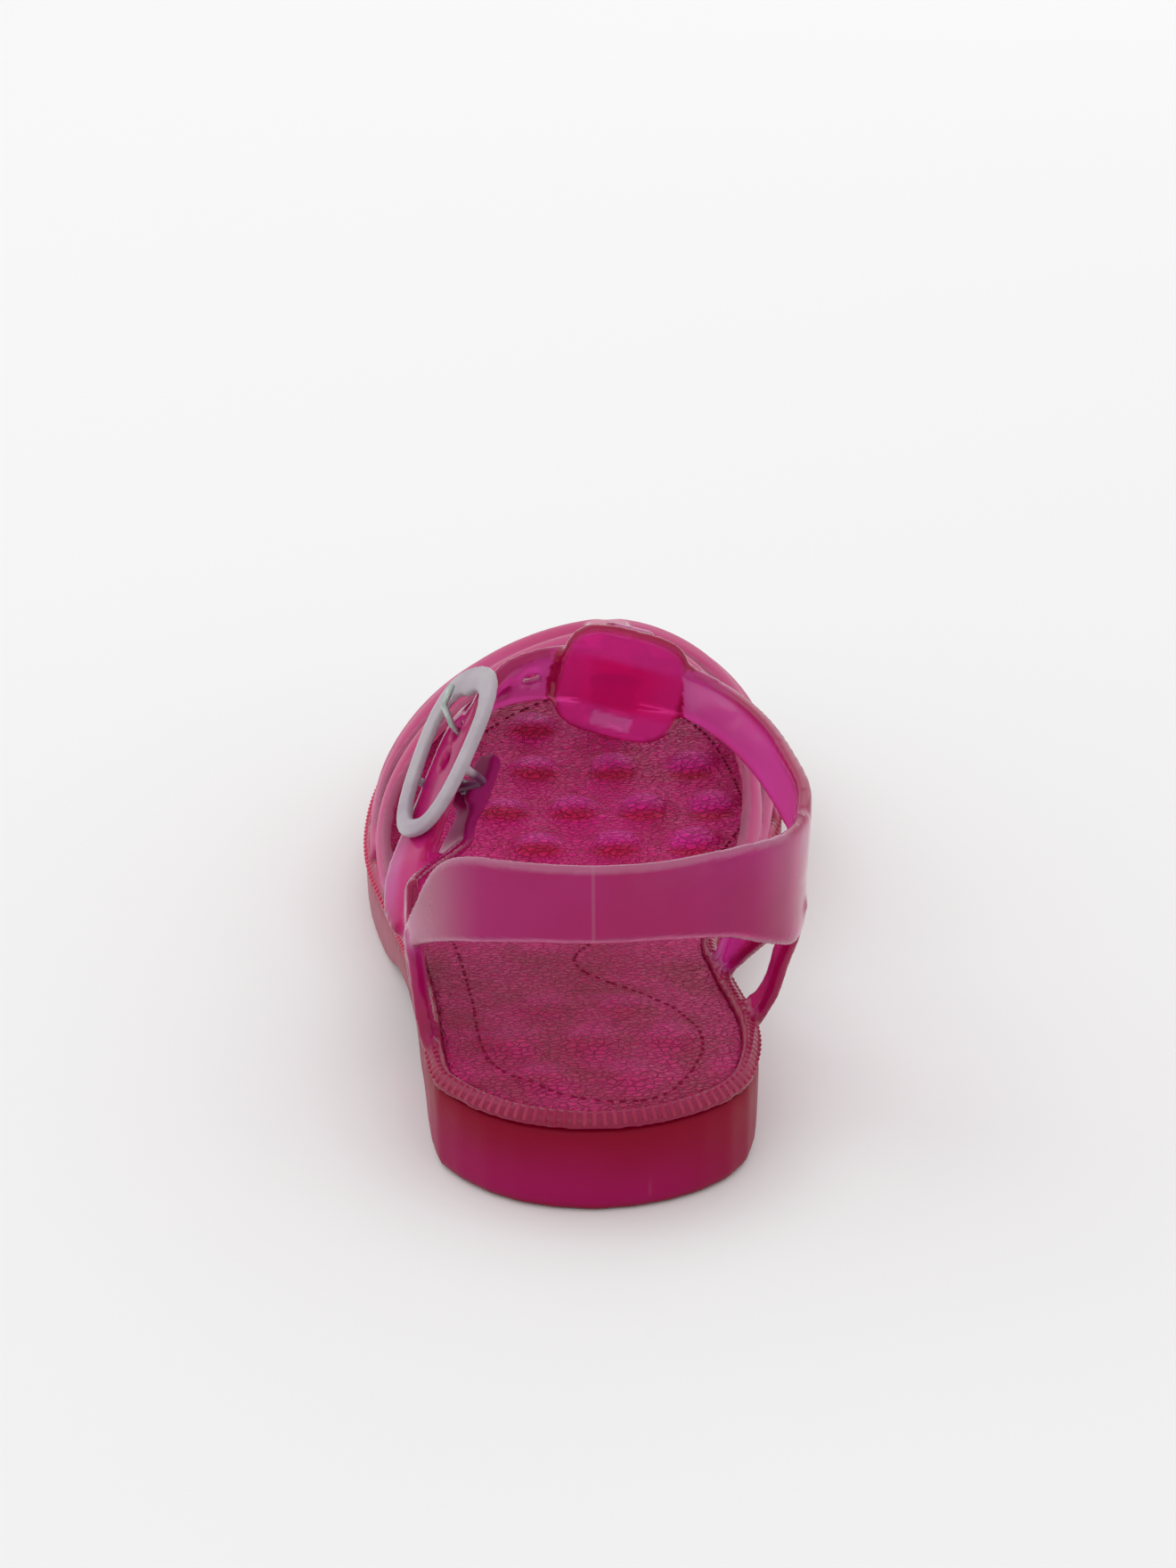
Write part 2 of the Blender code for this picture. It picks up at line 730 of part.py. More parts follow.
def t_bar():
    """Centre bar from the loop along the ridge of the vamp to the welt at the toe."""
    centre, across, up, forward = loop_frame()
    ahead = STRAP_THICKNESS / 2 + LOOP_GAP + BAR_THICKNESS / 2
    start = centre + forward * ahead - up * 0.3 * STRAP_WIDTH
    places = [start]
    for step in range(15):
        along = 0.535 + (0.985 - 0.535) * step / 14
        y = along * LENGTH - HEEL_SEAT
        height = INSTEP_HEIGHT * level(RIDGE_LEVELS, along) + 0.2 * BAR_THICKNESS
        places.append(Vector((RIDGE_ACROSS * BALL_WIDTH, y, height)))
    toe = places[-1].copy()
    toe.y = LENGTH - HEEL_SEAT - 0.62 * WELT_WIDTH
    toe.z = wall_top(toe.y) + 0.6 * WELT_HEIGHT
    places.append(toe)
    stations = []
    side = Vector((1, 0, 0))
    for index, place in enumerate(places):
        run = (places[min(index + 1, len(places) - 1)] - places[max(index - 1, 0)]).normalized()
        outward = side.cross(run).normalized()
        stations.append((place, side * RIDGE_WIDTH / 2, outward * BAR_THICKNESS / 2))
    return sweep(stations, 3.4)


def buckle_frame_axes():
    """Middle of the buckle's frame, its long direction, its wide one and its outward one."""
    centre, run, wide, outward, _ = frame_at(ANKLE_STRAP, BUCKLE_ROW, Vector((0, 0, 1)))
    lift = STRAP_THICKNESS / 2 + CLEARANCE + BUCKLE_BAR_THICKNESS / 2
    return centre + outward * lift + wide * BUCKLE_SHIFT, run, wide, outward


def pad_rows():
    """Rows of the pad: its root on the heel band, then its run under the buckle."""
    middle, run, wide, outward = buckle_frame_axes()
    rows = list(PAD_ROOT)
    for place in PAD_UNDER_BUCKLE:
        point = middle + run * place.run * BUCKLE_LENGTH - outward * PAD_DEPTH - wide * PAD_SHIFT
        across = point.x / BALL_WIDTH
        up = point.z / INSTEP_HEIGHT
        rows.append(Row(across, along_of(point.y), up, place.width, place.lean))
    return rows


def pad_lug(sign):
    """Block on the pad beside the prong, which carries the buckle's axle."""
    middle, run, wide, outward = buckle_frame_axes()
    low = PAD_DEPTH
    high = axle_depth() - 0.2 * AXLE_THICKNESS
    side = (LUG_WIDTH + PRONG_THICKNESS) / 2 + CLEARANCE
    centre = middle + run * axle_place() - wide * BUCKLE_SHIFT + wide * side * sign
    centre -= outward * (low + high) / 2
    across = AXLE_THICKNESS + 2 * CLEARANCE + PAD_THICKNESS
    return box(centre, (run, wide, outward), (across, LUG_WIDTH, low - high))


def axle_bar(growth=0.0):
    """The axle: it leaves the frame's long sides and dips under the strap."""
    middle, run, wide, outward = buckle_frame_axes()
    half = (BUCKLE_WIDTH - BUCKLE_BAR_WIDTH) / 2
    rows = ((-1.0, 0.0), (-0.97, 0.55), (-0.86, 0.92), (-0.7, 1.0))
    rows = rows + tuple((-side, down) for side, down in reversed(rows))
    places = [
        middle + run * axle_place() + wide * side * half - outward * down * axle_depth()
        for side, down in rows
    ]
    size = AXLE_THICKNESS / 2 + growth
    stations = []
    for index, place in enumerate(places):
        heading = places[min(index + 1, len(places) - 1)] - places[max(index - 1, 0)]
        across = outward.cross(heading).cross(heading).normalized()
        stations.append((place, run * size, across * size))
    return sweep(stations, 2.0, 6)


def axle_depth():
    """How far under the frame's middle plane the buckle's axle runs, below the strap."""
    strap_back = BUCKLE_BAR_THICKNESS / 2 + 2 * CLEARANCE + STRAP_THICKNESS
    return strap_back + AXLE_THICKNESS / 2 + CLEARANCE


def make_buckle_frame(finish):
    """Rounded frame with an axle that dips under the strap."""
    middle, run, wide, outward = buckle_frame_axes()
    bm = bmesh.new()
    around, sides = 32, 6
    rings = []
    for step in range(around):
        angle = math.tau * step / around
        c, s = math.cos(angle), math.sin(angle)
        grow = (abs(c) ** 2.7 + abs(s) ** 2.7) ** (-1 / 2.7)
        taper = 1.0 - 0.16 * c
        long_half = (BUCKLE_LENGTH - BUCKLE_BAR_WIDTH) / 2
        wide_half = (BUCKLE_WIDTH - BUCKLE_BAR_WIDTH) / 2 * taper
        place = middle + run * c * grow * long_half + wide * s * grow * wide_half
        out = (run * c * wide_half + wide * s * long_half).normalized()
        broad = BUCKLE_BAR_WIDTH * (1 + BUCKLE_BROAD_END * max(-c, 0) ** 3)
        place -= out * (broad - BUCKLE_BAR_WIDTH) / 2
        ring = []
        for corner in range(sides):
            turn = math.tau * (corner + 0.5) / sides
            grow_bar = (abs(math.cos(turn)) ** 3 + abs(math.sin(turn)) ** 3) ** (-1 / 3)
            ring.append(
                bm.verts.new(
                    place
                    + out * math.cos(turn) * grow_bar * broad / 2
                    + outward * math.sin(turn) * grow_bar * BUCKLE_BAR_THICKNESS / 2
                )
            )
        rings.append(ring)
    for index, ring in enumerate(rings):
        bridge(bm, ring, rings[(index + 1) % around])
    frame = new_object("buckle_frame", bm, finish)
    axle = new_object("buckle_axle", axle_bar(), guide=True)
    combine(frame, [axle], "UNION")
    return frame


def axle_place():
    """Place of the axle along the frame, towards the strap's free end."""
    return 0.12 * BUCKLE_LENGTH


def strap_hole(place):
    """Cutter for one oval hole of the ankle strap."""
    centre, run, wide, outward, _ = frame_at(ANKLE_STRAP, place, Vector((0, 0, 1)))
    stations = []
    for side in (-1.5, 1.5):
        middle = centre + outward * STRAP_THICKNESS * side
        stations.append((middle, run * STRAP_HOLE_LENGTH / 2, wide * STRAP_HOLE_WIDTH / 2))
    return sweep(stations, 2.0, 10)


def hole_rows():
    """Rows of the strap's table at which its holes lie, an equal pitch apart."""
    rows = [FIRST_HOLE_ROW]
    fine = 0.02
    for direction, count in ((1, 1), (-1, STRAP_HOLES - 2)):
        place, gone, found = FIRST_HOLE_ROW, 0.0, 0
        while found < count:
            here = row_point(smooth(ANKLE_STRAP, place))
            place += direction * fine
            gone += (row_point(smooth(ANKLE_STRAP, place)) - here).length
            if gone >= STRAP_HOLE_PITCH:
                rows.append(place)
                gone, found = 0.0, found + 1
    return rows


def make_upper(finish):
    """Welt, heel band, legs, ankle strap, vamp cage and T-bar loop as one moulding."""
    upper = make_welt(finish)
    sideways = Vector((0, 1, 0))
    forms = {
        "heel_band": strap(HEEL_BAND, BAND_HEIGHT, BAND_THICKNESS, steps=3),
        "ankle_strap": strap(ANKLE_STRAP, STRAP_WIDTH, STRAP_THICKNESS),
        "buckle_pad": strap(pad_rows(), PAD_WIDTH, PAD_THICKNESS),
        "pad_lug_low": pad_lug(-1),
        "pad_lug_high": pad_lug(1),
        "outer_rear_leg": strap(OUTER_REAR_LEG, LEG_WIDTH, LEG_THICKNESS, sideways, 3.0, 2),
        "outer_front_leg": strap(OUTER_FRONT_LEG, LEG_WIDTH, LEG_THICKNESS, sideways, 3.0, 2),
        "inner_rear_leg": strap(INNER_REAR_LEG, LEG_WIDTH, LEG_THICKNESS, sideways, 3.0, 2),
        "inner_front_leg": strap(INNER_FRONT_LEG, LEG_WIDTH, LEG_THICKNESS, sideways, 3.0, 2),
        "tab_plate": tab_plate(),
        "loop_bar": loop_bar(),
        "loop_bridge_top": loop_bridge(1),
        "loop_bridge_bottom": loop_bridge(-1),
        "t_bar": t_bar(),
    }
    flanks = (("outer", OUTER_LINE, OUTER_FULLNESS), ("inner", INNER_LINE, INNER_FULLNESS))
    for side, line, fullness in flanks:
        for index, (start, reach) in enumerate(zip(LACE_STARTS, LACE_SWEEPS)):
            forms[f"vamp_{side}_{index}"] = vamp_strip(line, fullness, start, reach)
    guides = [new_object(name, bm, guide=True) for name, bm in forms.items()]
    combine(upper, guides, "UNION")
    holes = [
        new_object(f"strap_hole_{index}", strap_hole(row), guide=True)
        for index, row in enumerate(hole_rows())
    ]
    holes.append(new_object("axle_room", axle_bar(CLEARANCE), guide=True))
    combine(upper, holes, "DIFFERENCE")
    return upper


def make_prong(finish):
    """Steel prong: it turns on the axle, comes up through a hole and rests on the frame."""
    middle, run, wide, outward = buckle_frame_axes()
    depth = axle_depth()
    thick = PRONG_THICKNESS
    clear = AXLE_THICKNESS / 2 + CLEARANCE + thick / 2
    hole, _, _, _, _ = frame_at(ANKLE_STRAP, FIRST_HOLE_ROW, Vector((0, 0, 1)))
    side = (hole - middle).dot(wide)
    at_hole = (hole - middle).dot(run)
    over = BUCKLE_BAR_THICKNESS / 2 + CLEARANCE + thick / 2
    tip = -PRONG_REACH * BUCKLE_LENGTH
    course = (
        (axle_place() + 0.2 * clear, -depth - clear),
        (axle_place() - 0.85 * clear, -depth - 0.75 * clear),
        (axle_place() - 1.15 * clear, -depth + 0.30 * clear),
        (at_hole + 0.42 * STRAP_HOLE_LENGTH, -depth + 0.38 * clear),
        (at_hole + 0.14 * STRAP_HOLE_LENGTH, -0.66 * depth),
        (at_hole - 0.17 * STRAP_HOLE_LENGTH, -0.2 * over),
        (at_hole - 0.80 * STRAP_HOLE_LENGTH, over * 1.05),
        (tip + BUCKLE_BAR_WIDTH, over * 1.08),
        (tip, over * 1.04),
    )
    places = [middle + wide * side + run * go + outward * up for go, up in course]
    stations = []
    for index, place in enumerate(places):
        heading = places[min(index + 1, len(places) - 1)] - places[max(index - 1, 0)]
        up = heading.cross(wide).normalized()
        stations.append((place, wide * thick / 2, up * thick / 2))
    return new_object("buckle_prong", sweep(stations, 2.0, 6), finish)


def shade(thing):
    """Smooth shading with creases at sharp edges."""
    thing.data.shade_smooth()
    thing.data.set_sharp_from_angle(angle=math.radians(40))


def main():
    clear_scene()
    vinyl = material("fuchsia_vinyl", (0.52, 0.02, 0.16), 0.22)
    sole_vinyl = material("sole_vinyl", (0.36, 0.008, 0.06), 0.25)
    bed_vinyl = material("footbed_vinyl", (0.42, 0.015, 0.13), 0.42)
    milky = material("buckle_plastic", (0.55, 0.48, 0.54), 0.35)
    steel = material("prong_steel", (0.45, 0.5, 0.48), 0.3, 1.0)
    made = [
        make_outsole(sole_vinyl),
        make_footbed(bed_vinyl),
        make_upper(vinyl),
        make_buckle_frame(milky),
        make_prong(steel),
    ]
    for thing in made:
        shade(thing)


main()
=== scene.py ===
"""Looks of a child's left jelly sandal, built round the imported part.

The upper is one moulding of clear fuchsia vinyl. It is swept here from the same rows as the part's
solids, then fused and softened. The sole, the footbed and the buckle are softened copies of theirs.
All lengths are in metres, with the origin on the floor under the heel seat, +X to the big-toe side,
+Y to the toe and +Z up.
"""
import logging
import math
from collections.abc import Callable
from dataclasses import dataclass, field
from enum import Enum
from typing import NamedTuple, Protocol

import bmesh
import bpy
import numpy as np
from mathutils import Matrix, Vector
from mathutils.bvhtree import BVHTree
from mathutils.kdtree import KDTree


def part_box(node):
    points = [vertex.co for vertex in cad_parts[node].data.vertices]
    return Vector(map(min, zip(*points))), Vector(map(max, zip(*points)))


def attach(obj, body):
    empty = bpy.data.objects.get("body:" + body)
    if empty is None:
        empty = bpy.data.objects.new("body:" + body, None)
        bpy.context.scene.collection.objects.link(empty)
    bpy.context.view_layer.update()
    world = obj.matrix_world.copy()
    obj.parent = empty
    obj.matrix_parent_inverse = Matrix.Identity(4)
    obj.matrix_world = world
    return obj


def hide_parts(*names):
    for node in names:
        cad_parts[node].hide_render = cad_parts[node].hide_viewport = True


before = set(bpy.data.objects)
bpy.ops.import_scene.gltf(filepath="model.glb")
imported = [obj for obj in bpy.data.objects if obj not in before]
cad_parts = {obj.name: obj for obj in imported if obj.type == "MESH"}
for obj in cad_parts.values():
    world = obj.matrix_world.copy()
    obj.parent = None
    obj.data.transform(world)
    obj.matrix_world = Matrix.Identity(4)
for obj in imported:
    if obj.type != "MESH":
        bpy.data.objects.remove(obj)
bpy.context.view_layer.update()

LOG = logging.getLogger("jelly_sandal")
MM = 0.001
BODY = "root"
UP = Vector((0, 0, 1))
TO_TOE = Vector((0, 1, 0))
ACROSS = Vector((1, 0, 0))
Piece = bpy.types.Object
Material = bpy.types.Material
# Points of a closed curve from one knot to the next
CURVE_STEPS = 8
# Millimetres in front of the heel seat between which the vamp's own look begins
VAMP_START = (63.0, 67.0)


class Side(Enum):
    """The two sides of the shoe."""

    OUTER = -1
    INNER = 1


class Station(NamedTuple):
    """One cross-section of a strap: its middle, half its width and its outward direction."""

    centre: Vector
    half: Vector
    outward: Vector


class Row(NamedTuple):
    """A row of a strap: shares of ball width, length and instep height, width share and lean in degrees."""

    across: float
    along: float
    up: float
    width: float
    lean: float


class Level(NamedTuple):
    """A height share at a share of the length."""

    along: float
    up: float


class Lace(NamedTuple):
    """A place on a vamp strip: how far up the flank, how far along its sweep, and its width share."""

    rise: float
    sweep: float
    width: float


class Under(NamedTuple):
    """A place of the pad under the buckle: share of the buckle's length, width share and lean."""

    run: float
    width: float
    lean: float


class Domes(NamedTuple):
    """A row of domes in millimetres: its place along, the first across, their pitch, count and half width."""

    along: float
    first: float
    pitch: float
    count: int
    half: float


class Lamp(NamedTuple):
    """A soft square light: its place, what it points at, its side and its power in watts."""

    name: str
    spot: tuple
    aim: tuple
    size: float
    power: float


class Finish(Protocol):
    """A finish that makes its own material."""

    def build(self) -> Material:
        """Make the material."""


def table(kind: type, *rows: tuple) -> tuple:
    """Rows of plain numbers as named tuples of one kind."""
    return tuple(kind(*row) for row in rows)


def smooth(values: tuple, place: float) -> list[float]:
    """Catmull-Rom value at a fractional index of a row of equal tuples.

    Args:
        values: The tuples.
        place: The fractional index.

    Returns:
        The mixed tuple as a list.
    """
    last = len(values) - 1
    index = min(max(int(math.floor(place)), 0), last - 1)
    t = place - index
    before, start = values[max(index - 1, 0)], values[index]
    end, after = values[index + 1], values[min(index + 2, last)]
    return [
        b + 0.5 * t * (c - a + t * (2 * a - 5 * b + 4 * c - d + t * (3 * (b - c) + d - a)))
        for a, b, c, d in zip(before, start, end, after)
    ]


def closed_curve(knots: list, steps: int) -> list[list[float]]:
    """Points of a smooth closed curve through its knots.

    Args:
        knots: The knots in order.
        steps: How many points from one knot to the next.

    Returns:
        The points in order.
    """
    around = [tuple(knot) for knot in (knots[-1], *knots, *knots[:2])]
    return [
        smooth(tuple(around[index:index + 4]), 1 + step / steps)
        for index in range(len(knots))
        for step in range(steps)
    ]


def deselect_all() -> None:
    """Leave edit mode and deselect every object."""
    if bpy.context.object and bpy.context.object.mode != "OBJECT":
        bpy.ops.object.mode_set(mode="OBJECT")
    bpy.ops.object.select_all(action="DESELECT")


def activate(piece: Piece) -> None:
    """Select one object alone and make it active.

    Args:
        piece: The object.
    """
    deselect_all()
    piece.select_set(True)
    bpy.context.view_layer.objects.active = piece


def finish_with(piece: Piece, kind: str, **settings: object) -> None:
    """Add a modifier with its settings and apply it.

    Args:
        piece: The mesh object.
        kind: The modifier's type.
        settings: Its properties by name.
    """
    activate(piece)
    step = piece.modifiers.new(kind.lower(), kind)
    for name, value in settings.items():
        setattr(step, name, value)
    bpy.ops.object.modifier_apply(modifier=step.name)


def added(operator: Callable, name: str, **settings: object) -> Piece:
    """Add a primitive, a lamp or a camera by its operator, selected alone.

    Args:
        operator: The operator that adds it.
        name: Its name.
        settings: The operator's settings.

    Returns:
        The new object.
    """
    deselect_all()
    operator(**settings)
    bpy.context.object.name = name
    return bpy.context.object


def set_at(piece: Piece, centre: Vector, sides: tuple) -> None:
    """Turn a mesh to three directions and set its middle."""
    piece.data.transform(Matrix.Translation(centre) @ Matrix(sides).transposed().to_4x4())


def stretch(piece: Piece, sizes: tuple) -> None:
    """Scale a mesh along its three axes."""
    piece.data.transform(Matrix.Diagonal((*sizes, 1.0)))


def weld(piece: Piece, reach: float) -> None:
    """Merge the vertices of a mesh that lie within a reach of each other.

    Args:
        piece: The mesh object.
        reach: The distance in metres.
    """
    activate(piece)
    bpy.ops.object.mode_set(mode="EDIT")
    bpy.ops.mesh.select_all(action="SELECT")
    bpy.ops.mesh.remove_doubles(threshold=reach)
    bpy.ops.object.mode_set(mode="OBJECT")


def turn_outwards(piece: Piece) -> None:
    """Turn all faces of a closed mesh outwards.

    Args:
        piece: The mesh object.
    """
    activate(piece)
    bpy.ops.object.mode_set(mode="EDIT")
    bpy.ops.mesh.select_all(action="SELECT")
    bpy.ops.mesh.normals_make_consistent(inside=False)
    bpy.ops.object.mode_set(mode="OBJECT")


def merged_copy(node: str, name: str) -> Piece:
    """Copy of a CAD node whose loose triangles are joined.

    Args:
        node: The node's name.
        name: The copy's name.

    Returns:
        The copy.
    """
    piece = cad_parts[node].copy()
    piece.data = piece.data.copy()
    piece.name = name
    piece.parent = None
    for tag in [key for key in piece.keys() if key.startswith("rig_")]:
        del piece[tag]
    bpy.context.scene.collection.objects.link(piece)
    piece.data.materials.clear()
    weld(piece, 0.01 * MM)
    return piece


def joined(name: str, pieces: list[Piece]) -> Piece:
    """Join several meshes into one object.

    Args:
        name: The object's name.
        pieces: The meshes.

    Returns:
        The joined object, at the origin.
    """
    activate(pieces[0])
    for piece in pieces:
        piece.select_set(True)
    bpy.ops.object.join()
    made = bpy.context.object
    bpy.ops.object.transform_apply(location=True, rotation=True, scale=True)
    made.name = name
    made.data.name = name
    return made


def softened(piece: Piece, voxel: float, rounds: int) -> None:
    """Fuse a closed mesh at one voxel size and smooth what is left of its facets.

    Args:
        piece: The mesh object.
        voxel: The voxel's side.
        rounds: How often the surface is smoothed.
    """
    finish_with(piece, "REMESH", mode="VOXEL", voxel_size=voxel, use_smooth_shade=True)
    finish_with(piece, "SMOOTH", factor=0.5, iterations=rounds)
    activate(piece)
    bpy.ops.object.shade_smooth()


def soft_copy(node: str, name: str, voxel: float, rounds: int) -> Piece:
    """Softened copy of a CAD node, as merged_copy and softened make it.

    Args:
        node: The node's name.
        name: The copy's name.
        voxel: The voxel's side.
        rounds: How often the surface is smoothed.

    Returns:
        The copy.
    """
    piece = merged_copy(node, name)
    softened(piece, voxel, rounds)
    return piece


def repeated(original: Piece, name: str, spots: list[tuple]) -> Piece:
    """Copy a piece to each spot, each copy with its own mesh, and join the copies.

    Args:
        original: The piece, which is removed.
        name: The joined piece's name.
        spots: A middle and three directions for each copy.

    Returns:
        The joined piece.
    """
    copies = []
    for centre, sides in spots:
        copy = bpy.data.objects.new(name, original.data.copy())
        set_at(copy, centre, sides)
        bpy.context.scene.collection.objects.link(copy)
        copies.append(copy)
    bpy.data.objects.remove(original)
    return joined(name, copies)


def paint(piece: Piece, name: str, values: list[float] | np.ndarray) -> None:
    """Store one number for each vertex, which a material reads by its name.

    Args:
        piece: The mesh object.
        name: The attribute's name.
        values: A value for each vertex.
    """
    layer = piece.data.attributes.new(name, "FLOAT", "POINT")
    layer.data.foreach_set("value", np.asarray(values, dtype=np.float32))


def rise(value: float, low: float, high: float) -> float:
    """Smooth step from 0 at low to 1 at high."""
    t = min(max((value - low) / (high - low), 0.0), 1.0)
    return t * t * (3 - 2 * t)


def edge_strength(piece: Piece, low: float, high: float, rounds: int) -> np.ndarray:
    """How sharply the surface bends outwards at each vertex, from 0 on flats to 1 on edges.

    Args:
        piece: The mesh object.
        low: Curvature per metre that still counts as flat.
        high: Curvature per metre of a full edge.
        rounds: How often the values are evened out.

    Returns:
        A value for each vertex.
    """
    mesh = piece.data
    count = len(mesh.vertices)
    places, normals = np.empty(3 * count), np.empty(3 * count)
    mesh.vertices.foreach_get("co", places)
    mesh.vertices.foreach_get("normal", normals)
    places, normals = places.reshape(-1, 3), normals.reshape(-1, 3)
    pairs = np.empty(2 * len(mesh.edges), dtype=np.int64)
    mesh.edges.foreach_get("vertices", pairs)
    first, second = pairs.reshape(-1, 2).T
    span = places[second] - places[first]
    square = np.maximum((span * span).sum(1), 1e-12)
    near = np.bincount(first, minlength=count) + np.bincount(second, minlength=count)
    bend = np.bincount(first, -2 * (span * normals[first]).sum(1) / square, count)
    bend += np.bincount(second, 2 * (span * normals[second]).sum(1) / square, count)
    bend /= near
    for _ in range(rounds):
        around = np.bincount(first, bend[second], count) + np.bincount(second, bend[first], count)
        bend = 0.5 * bend + 0.5 * around / near
    share = np.clip((bend - low) / (high - low), 0, 1)
    return share * share * (3 - 2 * share)


def settle(piece: Piece, finish: Finish, slot: str, *nodes: str) -> None:
    """Give a piece its finish and its place on the frame, and report it.

    Args:
        piece: The finished mesh object.
        finish: The finish that builds its material.
        slot: A material slot's name; not used.
        nodes: The CAD nodes it stands for.
    """
    piece.data.materials.append(finish.build())
    if nodes:
        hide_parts(*nodes)
    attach(piece, BODY)
    piece.data.calc_loop_triangles()
    LOG.info("%s: %d triangles", piece.name, len(piece.data.loop_triangles))


@dataclass
class FootForm:
    """The shoe's driving sizes and the outline of its sole, both read from the frame."""

    heel_seat: float = 27 * MM
    instep_height: float = 54 * MM
    clearance: float = 0.3 * MM
    overhang: float = 0.55 * MM
    length: float = field(init=False)
    ball_width: float = field(init=False)
    halves: dict[Side, list[Vector]] = field(init=False)

    def __post_init__(self) -> None:
        """Measure the frame."""
        low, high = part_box("upper")
        self.length = high.y - low.y
        self.ball_width = high.x - low.x
        ring = self.sole_edge()
        heel = min(range(len(ring)), key=lambda i: ring[i].y)
        ring = ring[heel:] + ring[:heel]
        toe = max(range(len(ring)), key=lambda i: ring[i].y)
        one, other = ring[: toe + 1], [ring[0]] + ring[:toe - 1:-1]
        self.halves = {Side.OUTER: one, Side.INNER: other}
        if one[len(one) // 2].x > 0:
            self.halves = {Side.OUTER: other, Side.INNER: one}

    def sole_edge(self) -> list[Vector]:
        """Points round the upper edge of the sole's wall, moved out to the welt's own edge.

        Returns:
            The points in order, each at the height of the wall there.
        """
        sole = merged_copy("outsole", "sole_edge")
        shape = bmesh.new()
        shape.from_mesh(sole.data)
        bpy.data.objects.remove(sole)
        top = {face for face in shape.faces if face.normal.z > 0.8 and face.calc_center_median().z > 8 * MM}
        rim = [edge for edge in shape.edges if sum(face in top for face in edge.link_faces) == 1]
        links: dict[bmesh.types.BMVert, list[bmesh.types.BMVert]] = {}
        for edge in rim:
            a, b = edge.verts
            links.setdefault(a, []).append(b)
            links.setdefault(b, []).append(a)
        here = rim[0].verts[0]
        walk = [here]
        while len(walk) < len(links):
            here = next(other for other in links[here] if other not in walk[-2:])
            walk.append(here)
        ring = [vert.co.copy() for vert in walk]
        shape.free()
        moved = []
        for index, point in enumerate(ring):
            run = ring[(index + 1) % len(ring)] - ring[index - 1]
            out = Vector((run.y, -run.x, 0)).normalized()
            moved.append((point, out))
        swell = self.overhang if sum(p.dot(o) for p, o in moved) > 0 else -self.overhang
        return [point + out * swell for point, out in moved]

    def edge_at(self, side: Side, y: float) -> Vector:
        """Point of the welt's outer edge on one side at a place along the shoe.

        Args:
            side: The side of the shoe.
            y: The place along the shoe.

        Returns:
            The point.
        """
        half = self.halves[side]
        for a, b in zip(half, half[1:]):
            if a.y <= y <= b.y:
                return a.lerp(b, (y - a.y) / max(b.y - a.y, 1e-9))
        return half[-1].copy()

    def wall_top(self, y: float) -> float:
        """Height of the sole's wall at a place along the shoe."""
        return self.edge_at(Side.INNER, y).z

    def y_at(self, along: float) -> float:
        """Place along the shoe at a share of its length."""
        return along * self.length - self.heel_seat

    def row_point(self, row: list[float] | Row) -> Vector:
        """The place that a strap's row gives."""
        return Vector((row[0] * self.ball_width, self.y_at(row[1]), row[2] * self.instep_height))

    def frame_at(self, rows: tuple[Row, ...], place: float, hint: Vector) -> tuple[Station, Vector, float]:
        """Section of a strap at a fractional row.

        Args:
            rows: The strap's rows.
            place: The fractional row.
            hint: The direction that the width follows.

        Returns:
            The station with a unit half-width, the running direction and the width share.
        """
        nudge = 0.05
        first = self.row_point(smooth(rows, max(place - nudge, 0)))
        second = self.row_point(smooth(rows, min(place + nudge, len(rows) - 1)))
        here = smooth(rows, place)
        run = (second - first).normalized()
        wide = (hint - run * hint.dot(run)).normalized()
        lean = math.radians(here[4])
        tilted = wide * math.cos(lean) - run.cross(wide) * math.sin(lean)
        return Station(self.row_point(here), tilted, run.cross(tilted)), run, here[3]

    def ring(self, count: int, inset: float, lift: float) -> list[Vector]:
        """Smooth closed ring along the welt at equal distances.

        Args:
            count: How many points.
            inset: How far inside the welt's outer edge.
            lift: How far above the sole's wall.

        Returns:
            The points in order.
        """
        knots = self.halves[Side.OUTER] + self.halves[Side.INNER][-2:0:-1]
        fine = [Vector(point) for point in closed_curve(knots, CURVE_STEPS)]
        reach = [0.0]
        for here, ahead in zip(fine, fine[1:] + fine[:1]):
            reach.append(reach[-1] + (ahead - here).length)
        middle = Vector((0, 0.3 * self.length, 0))
        ring, index = [], 0
        for step in range(count):
            goal = reach[-1] * step / count
            while reach[index + 1] < goal:
                index += 1
            share = (goal - reach[index]) / (reach[index + 1] - reach[index])
            here = fine[index].lerp(fine[(index + 1) % len(fine)], share)
            run = fine[(index + 2) % len(fine)] - fine[index - 1]
            inward = Vector((run.y, -run.x, 0)).normalized()
            if abs(here.x) > 0.2 * self.ball_width and inward.dot(middle - here) < 0:
                inward = -inward
            ring.append(here + inward * inset + UP * lift)
        return ring


